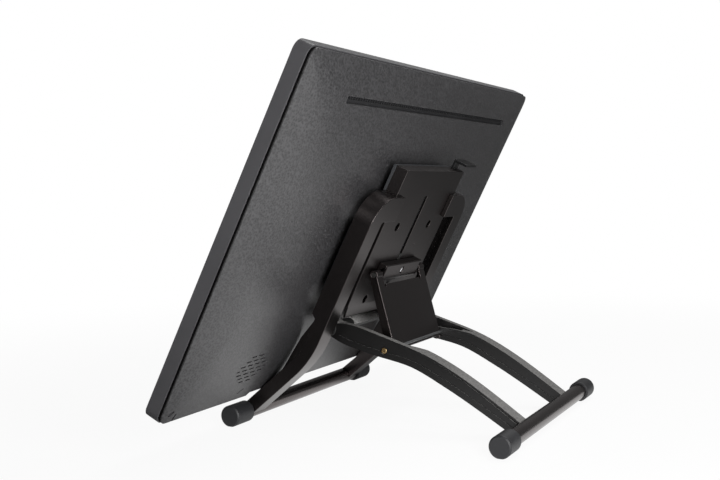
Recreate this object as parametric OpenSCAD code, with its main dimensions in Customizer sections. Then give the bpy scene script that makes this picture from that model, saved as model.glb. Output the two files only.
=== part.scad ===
// Pen display on a folding stand, seen from behind with the screen facing -Y.
// The origin is on the floor, midway between the two foot bars. +X is the
// user's right, +Z is up. All sizes are in millimetres.

/* [Display] */
// Width of the display, across the screen
display_w = 515; // [490:1:540]
// Height of the display, up the screen
display_h = 320; // [306:1:340]
// Depth of the side band round the screen
band_t = 14.6; // [13.8:0.1:17]
// Radius of the display's corners
corner_r = 9; // [6:0.5:14]
// Thickness of the moulded walls
wall = 2.4; // [2:0.1:2.8]
// Height of the rear cover's bulge over the band
bulge = 11; // [10.4:0.1:12]
// Width of the border beside the picture
side_border = 19.2; // [18:0.1:24]
// Height of the border over and under the picture
edge_border = 25.95; // [24:0.05:30]
// Thickness of the cover glass
glass_t = 2; // [1.5:0.1:2.4]
// Depth by which the glass lies below the bezel's face
glass_set = 0.6; // [0.3:0.1:1]
// Thickness of the ledge that carries the glass
ledge_t = 1.5; // [1:0.1:2]
// Thickness of the liquid crystal panel
lcd_t = 2.5; // [2:0.1:2.8]
// Thickness of the backlight
backlight_t = 6.8; // [6:0.1:7]
// Thickness of the pen sensor sheet
sensor_t = 0.8; // [0.5:0.1:1]
// Thickness of the metal chassis
chassis_t = 1.2; // [1:0.1:1.6]
// Width of the cut-out in the lower edge
cutout_w = 258; // [230:1:270]
// Height of the cut-out in the lower edge
cutout_h = 4.5; // [3.5:0.1:5]

/* [Rear cover] */
// Length of the vent strip
vent_w = 380; // [340:2:400]
// Height of the vent strip
vent_h = 6; // [4:0.5:8]
// Distance from the upper edge to the middle of the vent strip
vent_drop = 33.5; // [30:0.5:38]
// Spacing of the vent fins
vent_pitch = 4.5; // [3.5:0.25:6]
// Distance of a speaker's middle from the display's side
speaker_in = 104; // [90:0.5:112]
// Height of a speaker's middle over the lower edge
speaker_b = 37.5; // [35:0.5:40]
// Length of one speaker slot
slot_l = 8; // [6:0.2:9]
// Height of one speaker slot
slot_h = 1.5; // [1:0.1:2]
// Length of the lock slot
lock_slot_l = 6.5; // [6:0.1:7]
// Height of the lock slot
lock_slot_h = 3; // [2.6:0.1:3.4]

/* [Keys] */
// Width of a key
key_w = 10; // [8:0.2:11]
// Height of a key
key_h = 4.6; // [4:0.1:5]
// Spacing of the keys
key_pitch = 16; // [15:0.5:18]
// Travel of a key
key_travel = 0.8; // [0.5:0.1:0.9]

/* [Mount] */
// Spacing of the four mounting screws
mount_pitch = 75; // [72:1:78]
// Height of the mounting centre over the lower edge
mount_b = 143.8; // [140:0.2:148]
// Height of the mounting pad's face over the band
pad_c = 18; // [16:0.2:19]
// Thickness of the base plate
base_t = 2.7; // [2.2:0.1:3.2]

/* [Stand] */
// Tilt of the display from the floor
tilt = 64.2; // [60:0.2:66]
// Distance between the two foot bars
foot_span = 250.6; // [240:0.2:262]
// Distance of the front bar below the lower edge, along the display
bar_below = 20.6; // [18:0.2:24]
// Distance of the front bar in front of the band's rear face
bar_ahead = 1.7; // [0:0.1:4]
// Radius of the foot bars
tube_r = 7.3; // [6.8:0.1:7.8]
// Wall of the foot bars
tube_wall = 1.6; // [1:0.1:2]
// Radius of the rubber end caps
cap_r = 9.6; // [9:0.1:11]
// Depth of the flat under each cap
cap_flat = 0.3; // [0.2:0.05:0.5]
// Length of the rubber end caps
cap_len = 27; // [22:0.5:32]
// Half width of the stand over the legs
leg_out = 109.3; // [104:0.1:114]
// Width of a leg
leg_w = 21.8; // [20:0.1:23]
// Depth of a leg below its bend
leg_depth = 12.4; // [11:0.1:14]
// Bend of the lower legs
leg_bend = 23.4; // [21:0.2:26]
// Radius of the bend's back
leg_bend_r = 100; // [70:1:120]
// Wall of the legs
leg_wall = 2.5; // [2:0.1:3]
// Height of the legs' backs over the band
rail_c = 36.8; // [35.5:0.1:38.5]
// Height of the legs' front edges over the band
rail_front_c = 19.4; // [18.6:0.1:21]
// Radius of the shoulders
shoulder_r = 27; // [24:0.5:30]
// Height of the shoulders' tops over the lower edge
shoulder_b = 213.5; // [212:0.5:222]
// Height of the shoulder tabs
tab_h = 23.5; // [22:0.5:30]
// Half width between the shoulder tabs
tab_in = 59; // [57:0.5:63]

/* [Slide tray] */
// Half width of the slide tray
tray_half = 70.5; // [69:0.1:74]
// Height of the tray's upper edge over the display's lower edge
tray_top = 238; // [234:0.5:244]
// Height of the tray's lower edge
tray_bottom = 101; // [100:0.5:102]
// Height of the tray's back face over the band
tray_c = 32.5; // [31.6:0.1:33]
// Wall of the tray
tray_wall = 2; // [1.5:0.1:2.4]
// Width of the middle slot
track_w = 6.6; // [6:0.1:8]
// Upper end of the middle slot
track_top = 212; // [209:0.5:216]
// Radius of the holes over the mounting screws
access_r = 4.2; // [3.7:0.05:4.5]
// Radius of the guide rods
rod_r = 3; // [2.5:0.1:3.4]
// Distance of a guide rod from the centre line
rod_x = 20; // [16:0.5:24]

/* [Linkage] */
// Height of the arm pivot over the lower edge
pivot_b = 77; // [75:0.2:79]
// Height of the arm pivot over the band
pivot_c = 27.5; // [26.5:0.1:28.5]
// Radius of the pivot shaft
shaft_r = 4; // [3.4:0.1:4.4]
// Radius of the pivot knuckles
knuckle_r = 6.6; // [6:0.1:7]
// Half width of the base plate's knuckle
knuckle_half = 37; // [34:0.5:46]
// Distance of an arm's middle from the centre line
arm_x = 65; // [64:0.2:67]
// Width of an arm's flange
arm_w = 17; // [15:0.2:17.6]
// Distance of the prop rod along the arm
prop_along = 55.1; // [52:0.2:58]
// Height of the prop rod over the arm's line
prop_rise = 4.5; // [3.6:0.1:5.4]
// Radius of the prop rod
prop_rod_r = 3; // [2.5:0.1:3.2]
// Length of the prop, from rod to pin
prop_len = 67.8; // [66:0.1:70]
// Half width of the prop
prop_half = 55.5; // [54.5:0.1:56]
// Height of the carriage pin over the band
pin_c = 37.2; // [36.8:0.1:37.6]
// Radius of the carriage pin
pin_r = 2.2; // [1.8:0.1:2.4]
// Half width of the carriage bracket
bracket_half = 41.5; // [38:0.1:42]

/* [Lever] */
// Distance of the lever's stem from the centre line
lever_x = 61; // [60:0.5:62]
// Width of the lever's stem
stem_w = 12; // [10:0.5:12.5]
// Width of the finger tab
finger_w = 28; // [22:0.5:34]
// Length of the finger tab
finger_l = 14; // [11:0.5:18]
// Travel of the lever
lever_travel = 5; // [3:0.5:5.5]
// Height of the finger tab over the tray when the lever is pulled
finger_room = 2; // [1.4:0.1:5]

/* [Fits] */
// Running clearance round a pin or shaft
run_gap = 0.05; // [0.02:0.01:0.1]
// Clearance round a part that is fixed
seat_gap = 0.02; // [0.01:0.01:0.05]
// Clearance round a part that slides
slide_gap = 0.3; // [0.2:0.05:0.4]

/* [Hidden] */
$fn = 48;
eps = 0.01;

// Places of the foot bars and of the display's lower rear edge, in the YZ plane
bar_z = cap_r - cap_flat;
front_y = -foot_span / 2;
rear_y = foot_span / 2;
up_y = cos(tilt);
up_z = sin(tilt);
rim_y = front_y + bar_below * up_y + bar_ahead * up_z;
rim_z = bar_z + bar_below * up_z - bar_ahead * up_y;
function in_world(p) = [rim_y + p[0] * up_y + p[1] * up_z, rim_z + p[0] * up_z - p[1] * up_y];
function in_panel(q) = [
    (q[0] - rim_y) * up_y + (q[1] - rim_z) * up_z,
    (q[0] - rim_y) * up_z - (q[1] - rim_z) * up_y
];

// The arm runs from the pivot to the rear bar
pivot = [pivot_b, pivot_c];
pivot_w = in_world(pivot);
arm_dy = rear_y - pivot_w[0];
arm_dz = bar_z - pivot_w[1];
arm_len = sqrt(arm_dy * arm_dy + arm_dz * arm_dz);
arm_angle = atan2(arm_dz, arm_dy);
prop_w = pivot_w + prop_along * [cos(arm_angle), sin(arm_angle)]
    + prop_rise * [-sin(arm_angle), cos(arm_angle)];
prop_foot = in_panel(prop_w);

// The prop's pin lies where the prop meets the track
pin_b = prop_foot[0] + sqrt(pow(prop_len, 2) - pow(prop_foot[1] - pin_c, 2));
prop_angle = atan2(pin_c - prop_foot[1], pin_b - prop_foot[0]);

// Picture and depths inside the display, the depths counted from the band's rear face towards the back
screen_w = display_w - 2 * side_border;
screen_h = display_h - 2 * edge_border;
face_c = -band_t;
glass_c = face_c + glass_set;
ledge_c = glass_c + glass_t;
lcd_c = ledge_c + ledge_t;
backlight_c = lcd_c + lcd_t;
sensor_c = backlight_c + backlight_t;
chassis_c = sensor_c + sensor_t;
groove_c = 2.2;
groove_in = 1.3;
glass_rim = 3;
glass_gap = 0.2;
lcd_rim = 6.2;
lcd_rim_h = 9.4;
sensor_rim = 1.7;
chassis_side = side_border - 1.2;
chassis_low = 14.5;
chassis_high = 10.5;
board_lift = 2.4;
board_t = 1.6;
board_c = chassis_c + chassis_t + board_lift;
mid_b = display_h / 2;

// The rear cover rises from its rim to the bulge over these lengths (side, bottom, top)
cover_run = [95, 140, 85];
cover_inset = 1;
cover_lip = 1;
cover_power = 3.4;
cover_steps = 9;
corner_steps = 6;
corner_grow = 36;
pad_margin = 8.5;
pad_half = mount_pitch / 2 + pad_margin;
mount_shank_r = 1.95;
mount_head_r = 3.6;
mount_head_t = 2.5;
mount_deep = 6;
screw_gap = 0.15;
boss_r = 5.5;
boss_play = 0.15;

// Sockets in the cut-out of the lower edge
socket_in = 0.4;
socket_back = 0.65;
socket_lo = cutout_h + socket_in;
socket_l = edge_border - lcd_rim_h - socket_lo - socket_back;
socket_t = 7;
socket_wall = 0.7;
port_board_t = 1.2;
port_board_half = 62;
port_board_b = cutout_h + wall + slide_gap;
port_board_top = edge_border - lcd_rim_h - slide_gap;
video_w = 16;
usb_w = 10;
power_w = 10;
usb_x = 32;
power_x = -36;

// Keys on the bezel's lower right
key_b = 11.5;
key_end = 25.5;
key_last_x = display_w / 2 - key_end;
key_proud = 0.5;
key_flange = 1;
key_flange_t = 1;
key_gap = 0.2;
key_board_t = 1.2;
switch_t = 0.9;
switch_w = 4;
key_post_r = 1.5;
key_board_end = 10;
key_board_half = 4.2;
key_flange_c = lcd_c;
switch_c = key_flange_c + key_flange_t + key_travel + key_gap;
key_board_c = switch_c + switch_t;

// Stand
base_c = pad_c;
base_back = base_c + base_t;
flange_t = rail_c - tray_c;
leg_in = leg_out - leg_w;
bar_short = 7.5;
bar_half = leg_out + cap_len - bar_short;
bar = [-bar_below, -bar_ahead];
wing_below = 32;
wing_above = 36;
wing_lo = mount_b - wing_below;
wing_hi = mount_b + wing_above;
web_half = knuckle_r;
relief_c = 24;
relief_b = 93;
gusset = [[108, relief_c], [relief_b, rail_front_c], [61, 10.9], [24, 6.6], [4.5, 2.9]];
lean = [cos(leg_bend), sin(leg_bend)];
across = [-sin(leg_bend), cos(leg_bend)];
kink_b = bar[0] + (rail_c - bar[1] - leg_depth / 2 / lean[0]) * lean[0] / lean[1];
relief_lo = bar[0] + (relief_c - bar[1] + leg_depth / 2 / lean[0]) * lean[0] / lean[1];
bend_t = leg_bend_r * tan(leg_bend / 2);
bend_mid = [kink_b + bend_t, rail_c - leg_bend_r];
leg_join_up = 8;
leg_join = kink_b + bend_t + leg_join_up;
shoulder_x = leg_out - shoulder_r;
shoulder_mid_b = shoulder_b - shoulder_r;
leg_screw_x = 64;
leg_screw_r = 1.5;
leg_screw_head = 3;
leg_screw_head_t = 1.8;
leg_screw_deep = 3.2;
leg_screw_short = 0.4;
leg_screw_in = 7;
leg_screw_rows = [shoulder_b - tab_h + leg_screw_in, shoulder_b - leg_screw_in];

// Tray, carriage and lever
taper_b = 135;
taper_in = 1;
lip_gap = 3.5;
lip_half = arm_x - arm_w / 2 - lip_gap;
lip_step = 1.5;
lip_top_half = tray_half - taper_in - lip_step;
lip_play = 2.1;
lip_b = pivot_b + knuckle_r + lip_play;
lip_drop = 4.5;
lip_c = tray_c - lip_drop;
stop_hole = [-22, 160.3];
stop_hole_r = 0.7;
knuckle_cut_x = -15;
knuckle_cut_w = 2;
knuckle_cut_t = 1.2;
knuckle_open = [[0, 0], [8.1, 18.2], [-20, 18.2], [-20, -14], [-3, -5]];
rod_lift = 4.9;
rod_c = base_back + rod_lift;
block_half = 30;
block_below = 15;
block_above = 16;
block_lift = 1.7;
block_play = 0.6;
block_lo = pin_b - block_below;
block_hi = pin_b + block_above;
block_c = base_back + block_lift;
block_back = tray_c - tray_wall - block_play;
bracket_over = 3.3;
bracket_below = 10.2;
bracket_above = 10;
bracket_edge = 0.6;
bracket_foot = 0.3;
bracket_c = tray_c + slide_gap;
bracket_back = pin_c + bracket_over;
bracket_roll = bracket_back - bracket_c - bracket_foot;
bracket_lo = pin_b - bracket_below;
bracket_hi = pin_b + bracket_above;
neck_play = 0.4;
neck_half = track_w / 2 - neck_play;
track_lo = block_lo - block_play;
cradle_x = 38.5;
cradle_gap = 0.7;
cradle_angle = 41;
cradle_len = 20;
screw_up = 2.5;
screw_b = pin_b + screw_up;
screw_head_r = 3.2;
screw_head_t = 2.2;
screw_sunk = 0.4;
screw_r = 2;
stem_t = 2.5;
stem_lift = 2.6;
stem_c = base_back + stem_lift;
finger_t = 2.5;
finger_b = tray_top + lever_travel + finger_room;
cross_b = 206;
cross_h = 6;
lock_bar_x = 34;
lock_bar_w = 3;
lock_bar_lo = 112;
spring_r = 3.4;
spring_wire = 1;
spring_lo = 190;
spring_seat = 3;
spring_c = stem_c + stem_t / 2;

// Arms, prop and shaft
web_inset = 0.6;
web_w = arm_w - 2 * web_inset;
flange_h = 3;
arm_wall = 2.5;
groove_up = 5.6;
groove_w = 0.8;
groove_t = 0.5;
arm_eye_r = 7;
boss_half = 9;
shaft_head_r = 6.2;
shaft_head_t = 2.4;
brass_head_r = 2.8;
brass_room = 0.5;
brass_head_t = 1.6;
brass_shank_r = 1.48;
brass_deep = 8;
arm_top = [[0.02, 6.9], [0.09, 12], [0.25, 15.6], [0.48, 18.9], [0.71, 14.8], [1, 3.6]];
arm_inside = [[-0.06, 7], [0.03, 6.8], [0.1, 5.8], [0.19, 5.6], [0.285, 10.4], [0.37, 15.5], [0.46, 19.4]];
strip_w = 7.5;
open_deep = 2.2;
open_from = 0.1;
open_to = 0.4;
edge_t = 1.6;
edge_gap = 1.5;
edge_gap_t = 1.3;
edge_from = 0.48;
arm_low = [[0, -6.8], [0.1, -7.4], [0.25, -3.2], [0.43, 2.9], [0.61, 1], [0.76, -2.4], [0.95, -8]];
prop_back = 2.9;
prop_t = 2;
prop_side = 2.5;
prop_eye_r = 6.2;
pin_eye_r = 4.1;
ear_in = bracket_half + 1.5;
notch_deep = 10;
relief_r = 2;
relief_in = 0.2;

// A smooth curve through points, with steps pieces between two of them
function at(p, i) = p[max(0, min(len(p) - 1, i))];
function blend(a, b, c, d, t) = 0.5 * (2 * b + (c - a) * t
    + (2 * a - 5 * b + 4 * c - d) * t * t + (3 * b - a - 3 * c + d) * t * t * t);
function curve(p, steps = 6) = [
    for (i = [0 : len(p) - 2], j = [0 : (i == len(p) - 2 ? steps : steps - 1)])
        blend(at(p, i - 1), p[i], p[i + 1], at(p, i + 2), j / steps)
];
function arc(mid, r, from, to, steps = 12) = [
    for (i = [0 : steps])
        let (a = from + (to - from) * i / steps)
        mid + r * [cos(a), sin(a)]
];
function turned(p) = [for (i = [len(p) - 1 : -1 : 0]) p[i]];
function raised(p, h) = [for (q = p) q + [0, h]];
function along_arm(p) = curve([for (q = p) [q[0] * arm_len, q[1]]]);

// Frames. In the panel's frame x is +X, y runs up the display and z out of its back
module panel() {
    translate([0, rim_y, rim_z]) rotate([180 - tilt, 0, 180]) mirror([1, 0, 0]) children();
}
module across_x() {
    rotate([90, 0, 90]) children();
}
module arm_frame() {
    translate([0, pivot_w[0], pivot_w[1]]) rotate([arm_angle, 0, 0]) across_x() children();
}
module prop_frame() {
    panel() translate([0, prop_foot[0], prop_foot[1]]) rotate([prop_angle, 0, 0]) across_x() children();
}
module sided(s) {
    if (s > 0) {
        children();
    } else {
        mirror([1, 0, 0]) children();
    }
}
module slab(x0, x1, b0, b1, c0, c1) {
    translate([x0, b0, c0]) cube([x1 - x0, b1 - b0, c1 - c0]);
}
module rounded(w, h, r) {
    square([w - 2 * r, h], center = true);
    square([w, h - 2 * r], center = true);
    for (x = [-1, 1], y = [-1, 1]) {
        translate([x * (w / 2 - r), y * (h / 2 - r)]) circle(r);
    }
}
module plate(w, h, r, c0, c1) {
    translate([0, mid_b, c0]) linear_extrude(c1 - c0) rounded(w, h, r);
}
module at_mounts() {
    for (x = [-1, 1], y = [-1, 1]) {
        translate([x * mount_pitch / 2, mount_b + y * mount_pitch / 2, 0]) children();
    }
}
module post(r, c0, c1) {
    translate([0, 0, c0]) cylinder(r = r, h = c1 - c0);
}

// Screen stack
module front_bezel() {
    color("#2b2b2d") panel() difference() {
        union() {
            difference() {
                union() {
                    plate(display_w, display_h, corner_r, face_c, -groove_c);
                    plate(display_w - 2 * groove_in, display_h - 2 * groove_in, corner_r - groove_in,
                        face_c + 1, 0);
                }
                bezel_cavity();
            }
            for (x = key_board_ends()) {
                translate([x, key_b, 0]) post(key_post_r, lcd_c - eps, key_board_c);
            }
        }
        plate(screen_w + 2 * (glass_rim + glass_gap), screen_h + 2 * (glass_rim + glass_gap), 2,
            face_c - 1, ledge_c);
        plate(screen_w + 2, screen_h + 2, 1, ledge_c - 1, lcd_c + 1);
        cutout(lcd_c, 1);
        sockets_outline(glass_gap);
        for (i = [0 : 4]) {
            translate([key_last_x - i * key_pitch, key_b, face_c - 1])
                linear_extrude(lcd_c - face_c + 2)
                    square([key_w + 2 * key_gap, key_h + 2 * key_gap], center = true);
        }
    }
}
module cutout(c0, c1) {
    half = cutout_w / 2;
    translate([0, 0, c0]) linear_extrude(c1 - c0) polygon([
        [-half - 1, -1], [half + 1, -1],
        [half - cutout_h * 0.8, cutout_h], [-half + cutout_h * 0.8, cutout_h]
    ]);
}
module bezel_cavity() {
    difference() {
        plate(display_w - 2 * wall, display_h - 2 * wall, corner_r - wall, lcd_c, 1);
        slab(-cutout_w / 2 - wall, cutout_w / 2 + wall, 0, cutout_h + wall, lcd_c - 1, 2);
    }
}
module cover_glass() {
    color("#101214") panel()
        plate(screen_w + 2 * glass_rim, screen_h + 2 * glass_rim, 2, glass_c, ledge_c);
}
module lcd_panel() {
    color("#16181c") panel()
        plate(screen_w + 2 * lcd_rim, screen_h + 2 * lcd_rim_h, 1, lcd_c, backlight_c);
}
module backlight_tray() {
    color("#c9ccd0") panel()
        plate(screen_w + 2 * lcd_rim, screen_h + 2 * lcd_rim_h, 1, backlight_c, sensor_c);
}
module pen_sensor_sheet() {
    color("#3c6b4a") panel()
        plate(screen_w + 2 * sensor_rim, screen_h + 2 * sensor_rim, 1, sensor_c, chassis_c);
}

// Chassis and electronics
main_x = [62, 168];
power_board_x = [-168, -66];
board_b = [102, 218];
board_hole = 6;
function board_corners(x) = [
    for (i = [0, 1], j = [0, 1])
        [x[i] + board_hole * (1 - 2 * i), board_b[j] + board_hole * (1 - 2 * j)]
];
board_post_r = 3;
board_screw_r = 1.2;
board_screw_head = 2.4;
board_screw_t = 1.4;

boss_top = rise((mount_b - mount_pitch / 2 - boss_r - cover_inset) / cover_run[1]) - wall - boss_play;
module chassis_plate() {
    color("#9a9da1") panel() difference() {
        union() {
            slab(-display_w / 2 + chassis_side, display_w / 2 - chassis_side, chassis_low,
                display_h - chassis_high, chassis_c, chassis_c + chassis_t);
            at_mounts() post(boss_r, chassis_c, boss_top);
            for (x = [main_x, power_board_x], p = board_corners(x)) {
                translate([p[0], p[1], 0]) post(board_post_r, chassis_c, board_c);
            }
        }
        at_mounts() post(mount_shank_r + seat_gap, bulge - wall - mount_deep - 1, bulge);
        for (x = [main_x, power_board_x], p = board_corners(x)) {
            translate([p[0], p[1], 0]) post(board_screw_r + seat_gap, chassis_c + chassis_t, board_c + 1);
        }
    }
}
module board(x) {
    difference() {
        slab(x[0], x[1], board_b[0], board_b[1], board_c, board_c + board_t);
        for (p = board_corners(x)) {
            translate([p[0], p[1], 0]) post(board_screw_r + seat_gap, board_c - 1, board_c + board_t + 1);
        }
    }
}
chip_t = 1.6;
processor_w = 28;
memory_w = 12;
memory_h = 10;
memory_t = 0.8;
connector_w = 56;
connector_h = 7;
coil_w = 14;
transformer_h = 14;
// A part on a board, its middle given as shares of the board's sides
module chip(x, u, v, w, h, t) {
    translate([
        x[0] + u * (x[1] - x[0]) - w / 2, board_b[0] + v * (board_b[1] - board_b[0]) - h / 2,
        board_c + board_t - eps
    ])
        cube([w, h, t + eps]);
}
module main_board() {
    color("#1f5a38") panel() {
        board(main_x);
        chip(main_x, 0.42, 0.46, processor_w, processor_w, chip_t);
        for (i = [0 : 2]) {
            chip(main_x, 0.7, 0.36 + 0.12 * i, memory_w, memory_h, memory_t);
        }
        chip(main_x, 0.46, 0.07, connector_w, connector_h, chip_t);
    }
}
module power_board() {
    color("#2a6a3c") panel() {
        board(power_board_x);
        for (i = [0 : 3]) {
            chip(power_board_x, 0.2 + 0.19 * i, 0.45, coil_w, coil_w, chip_t);
        }
        chip(power_board_x, 0.49, 0.72, connector_w, transformer_h, chip_t);
    }
}
module board_screws() {
    color("#b9bcc0") panel() for (x = [main_x, power_board_x], p = board_corners(x)) {
        translate([p[0], p[1], 0]) {
            post(board_screw_head, board_c + board_t, board_c + board_t + board_screw_t);
            post(board_screw_r, board_c - 1, board_c + board_t + eps);
        }
    }
}

// Sockets
socket_c = chassis_c - port_board_t;
function socket_rows() = [[0, video_w], [usb_x, usb_w], [power_x, power_w]];
module socket_block(x, w, grow) {
    slab(x - w / 2 - grow, x + w / 2 + grow, socket_lo - grow, socket_lo + socket_l,
        socket_c - socket_t - grow, socket_c);
}
module sockets_outline(grow) {
    for (r = socket_rows()) {
        slab(r[0] - r[1] / 2 - grow, r[0] + r[1] / 2 + grow, cutout_h - 1, cutout_h + wall + 1,
            socket_c - socket_t - grow, socket_c + grow);
    }
}
module port_board() {
    color("#1f5a38") panel()
        slab(-port_board_half, port_board_half, port_board_b, port_board_top, socket_c, chassis_c);
}
module shell_socket(x, w, tongue_t) {
    difference() {
        socket_block(x, w, 0);
        slab(x - w / 2 + socket_wall, x + w / 2 - socket_wall, socket_lo - 1, socket_lo + socket_l - 1.5,
            socket_c - socket_t + socket_wall, socket_c - socket_wall);
    }
    slab(x - w / 2 + 2, x + w / 2 - 2, socket_lo + 1, socket_lo + socket_l - 1.4,
        socket_c - socket_t / 2 - tongue_t / 2, socket_c - socket_t / 2 + tongue_t / 2);
}
module video_socket() {
    color("#b7babd") panel() shell_socket(0, video_w, 1);
}
module usb_socket() {
    color("#b7babd") panel() shell_socket(usb_x, usb_w, 2.4);
}
power_bore_r = 2.9;
power_pin_r = 0.8;
module power_socket() {
    color("#1b1b1c") panel() {
        difference() {
            socket_block(power_x, power_w, 0);
            translate([power_x, socket_lo - 1, socket_c - socket_t / 2]) rotate([-90, 0, 0])
                cylinder(r = power_bore_r, h = socket_l - 1);
        }
        translate([power_x, socket_lo + 1.5, socket_c - socket_t / 2]) rotate([-90, 0, 0])
            cylinder(r = power_pin_r, h = socket_l - 3);
    }
}

// Keys
function key_board_ends() = [key_last_x - 4 * key_pitch - key_board_end, key_last_x + key_board_end];
module key_board() {
    color("#1f5a38") panel() {
        slab(key_board_ends()[0] - key_post_r, key_board_ends()[1] + key_post_r, key_b - key_board_half,
            key_b + key_board_half, key_board_c, key_board_c + key_board_t);
        for (i = [0 : 4]) {
            translate([key_last_x - i * key_pitch, key_b, switch_c])
                linear_extrude(switch_t + eps) square(switch_w, center = true);
        }
    }
}
module key(i, tint) {
    color(tint) panel() translate([key_last_x - i * key_pitch, key_b, 0]) {
        translate([0, 0, face_c - key_proud]) linear_extrude(key_flange_c - face_c + key_proud + eps)
            square([key_w, key_h], center = true);
        translate([0, 0, key_flange_c]) linear_extrude(key_flange_t)
            square([key_w + 2 * key_flange, key_h + 2 * key_flange], center = true);
    }
}
module power_key() {
    key(0, "#4a4a4d");
}
module menu_key() {
    key(4, "#3a3a3d");
}
module up_key() {
    key(3, "#3a3a3d");
}
module down_key() {
    key(2, "#3a3a3d");
}
module select_key() {
    key(1, "#3a3a3d");
}

// Rear cover, a closed skin laid over rings that shrink as they rise
function rise(t) = cover_lip + (bulge - cover_lip) * (1 - pow(1 - t, cover_power));
function ring(shrink, t, c) =
    let (
        side = cover_inset + shrink + t * cover_run[0],
        low = cover_inset + shrink + t * cover_run[1],
        high = display_h - cover_inset - shrink - t * cover_run[2],
        half = display_w / 2 - side,
        r = min(corner_r - cover_inset - shrink / 2 + t * corner_grow, (high - low) / 2 - 1)
    )
    [for (k = [0 : 3], j = [0 : corner_steps])
        let (a = 90 * (k + j / corner_steps))
        [
            (k == 0 || k == 3 ? 1 : -1) * (half - r) + r * cos(a),
            (k < 2 ? high - r : low + r) + r * sin(a),
            c - shrink
        ]
    ];
function cover_skin(shrink) = [
    for (p = ring(shrink, 0, 0)) p,
    for (i = [0 : cover_steps])
        let (t = pow(i / cover_steps, 1.5))
        for (p = ring(shrink, t, rise(t))) p
];
module cover_form(shrink) {
    m = 4 * (corner_steps + 1);
    top = (cover_steps + 1) * m;
    polyhedron(
        points = cover_skin(shrink),
        faces = concat(
            [[for (j = [0 : m - 1]) j]],
            [
                for (i = [0 : cover_steps], j = [0 : m - 1])
                    [i * m + j, (i + 1) * m + j, (i + 1) * m + (j + 1) % m]
            ],
            [
                for (i = [0 : cover_steps], j = [0 : m - 1])
                    [i * m + j, (i + 1) * m + (j + 1) % m, i * m + (j + 1) % m]
            ],
            [[for (j = [m - 1 : -1 : 0]) top + j]]
        )
    );
}
speaker_x = display_w / 2 - speaker_in;
slot_rows = 3;
slot_row_pitch = 4.45;
slot_pitch = 11.1;
end_slot = 5;
module speaker_slots() {
    for (i = [-slot_rows : slot_rows]) {
        last = slot_rows + 1 - abs(i);
        for (j = [0 : last]) {
            x = (j - last / 2) * slot_pitch;
            l = i == 0 && (j == 0 || j == last) ? end_slot : slot_l;
            translate([x - sign(x) * (slot_l - l) / 2, i * slot_row_pitch])
                square([l, slot_h], center = true);
        }
    }
}
aux_slot_in = 5.9;
aux_slot = [speaker_x - aux_slot_in, 11.1];
aux_slot_l = 8.4;
aux_slot_turn = -36;
lock_slot_in = [10, 10.4];
lock_slot_turn = -48;
notch_at = [17, 10];
notch_w = 2.6;
module slot_shape(l, h) {
    square([l - h, h], center = true);
    for (s = [-1, 1]) {
        translate([s * (l - h) / 2, 0]) circle(h / 2);
    }
}
module rear_cover() {
    color("#343437") panel() difference() {
        cover_form(0);
        cover_form(wall);
        at_mounts() post(mount_shank_r + screw_gap, bulge - wall - 1, bulge + 1);
        slab(-vent_w / 2, vent_w / 2, display_h - vent_drop - vent_h / 2, display_h - vent_drop + vent_h / 2,
            0.5, bulge + 5);
        for (s = [-1, 1]) {
            translate([s * speaker_x, speaker_b, 1]) linear_extrude(bulge + 5) sided(s) speaker_slots();
            translate([s * aux_slot[0], aux_slot[1], 0.5]) linear_extrude(bulge + 5) sided(s)
                rotate(aux_slot_turn) slot_shape(aux_slot_l, slot_h);
        }
        translate([display_w / 2 - lock_slot_in[0], lock_slot_in[1], 0.2]) linear_extrude(bulge)
            rotate(lock_slot_turn) slot_shape(lock_slot_l, lock_slot_h);
        translate([display_w / 2 - notch_at[0] - notch_w / 2, -1, 0.9]) cube([notch_w, notch_at[1], bulge]);
        cutout(-1, bulge);
    }
}
vent_t = 2.4;
vent_deep = 1.8;
vent_c = rise((vent_drop - cover_inset) / cover_run[2]) - vent_deep - vent_t;
vent_fin = 1.4;
vent_edge = 0.5;
module vent_grille() {
    b = display_h - vent_drop;
    count = floor((vent_w / 2 - vent_pitch) / vent_pitch);
    color("#1c1c1d") panel() difference() {
        slab(-vent_w / 2, vent_w / 2, b - vent_h / 2, b + vent_h / 2, vent_c, vent_c + vent_t);
        for (i = [-count : count]) {
            slab(i * vent_pitch - (vent_pitch - vent_fin) / 2, i * vent_pitch + (vent_pitch - vent_fin) / 2,
                b, b + vent_h / 2 - vent_edge, vent_c - 1, vent_c + vent_t + 1);
        }
    }
}
speaker_w = 46;
speaker_h = 26;
speaker_t = 1.8;
module speaker(s) {
    color("#222224") panel() translate([s * speaker_x, speaker_b, chassis_c + chassis_t])
        linear_extrude(speaker_t) rounded(speaker_w, speaker_h, 4);
}
module right_speaker() {
    speaker(1);
}
module left_speaker() {
    speaker(-1);
}
lock_plate_w = 11;
lock_plate_t = 2;
module lock_slot_plate() {
    x1 = display_w / 2 - wall;
    x0 = max(x1 - lock_plate_w, screen_w / 2 + lcd_rim + 0.6);
    color("#8e9195") panel() difference() {
        intersection() {
            slab(x0, x1, wall, port_board_top, -1 - lock_plate_t, -1);
            plate(display_w - 2 * wall, display_h - 2 * wall, corner_r - wall, -2 - lock_plate_t, 0);
        }
        translate([display_w / 2 - lock_slot_in[0], lock_slot_in[1], -2 - lock_plate_t])
            linear_extrude(lock_plate_t + 2) rotate(lock_slot_turn) slot_shape(lock_slot_l, lock_slot_h);
    }
}

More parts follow.
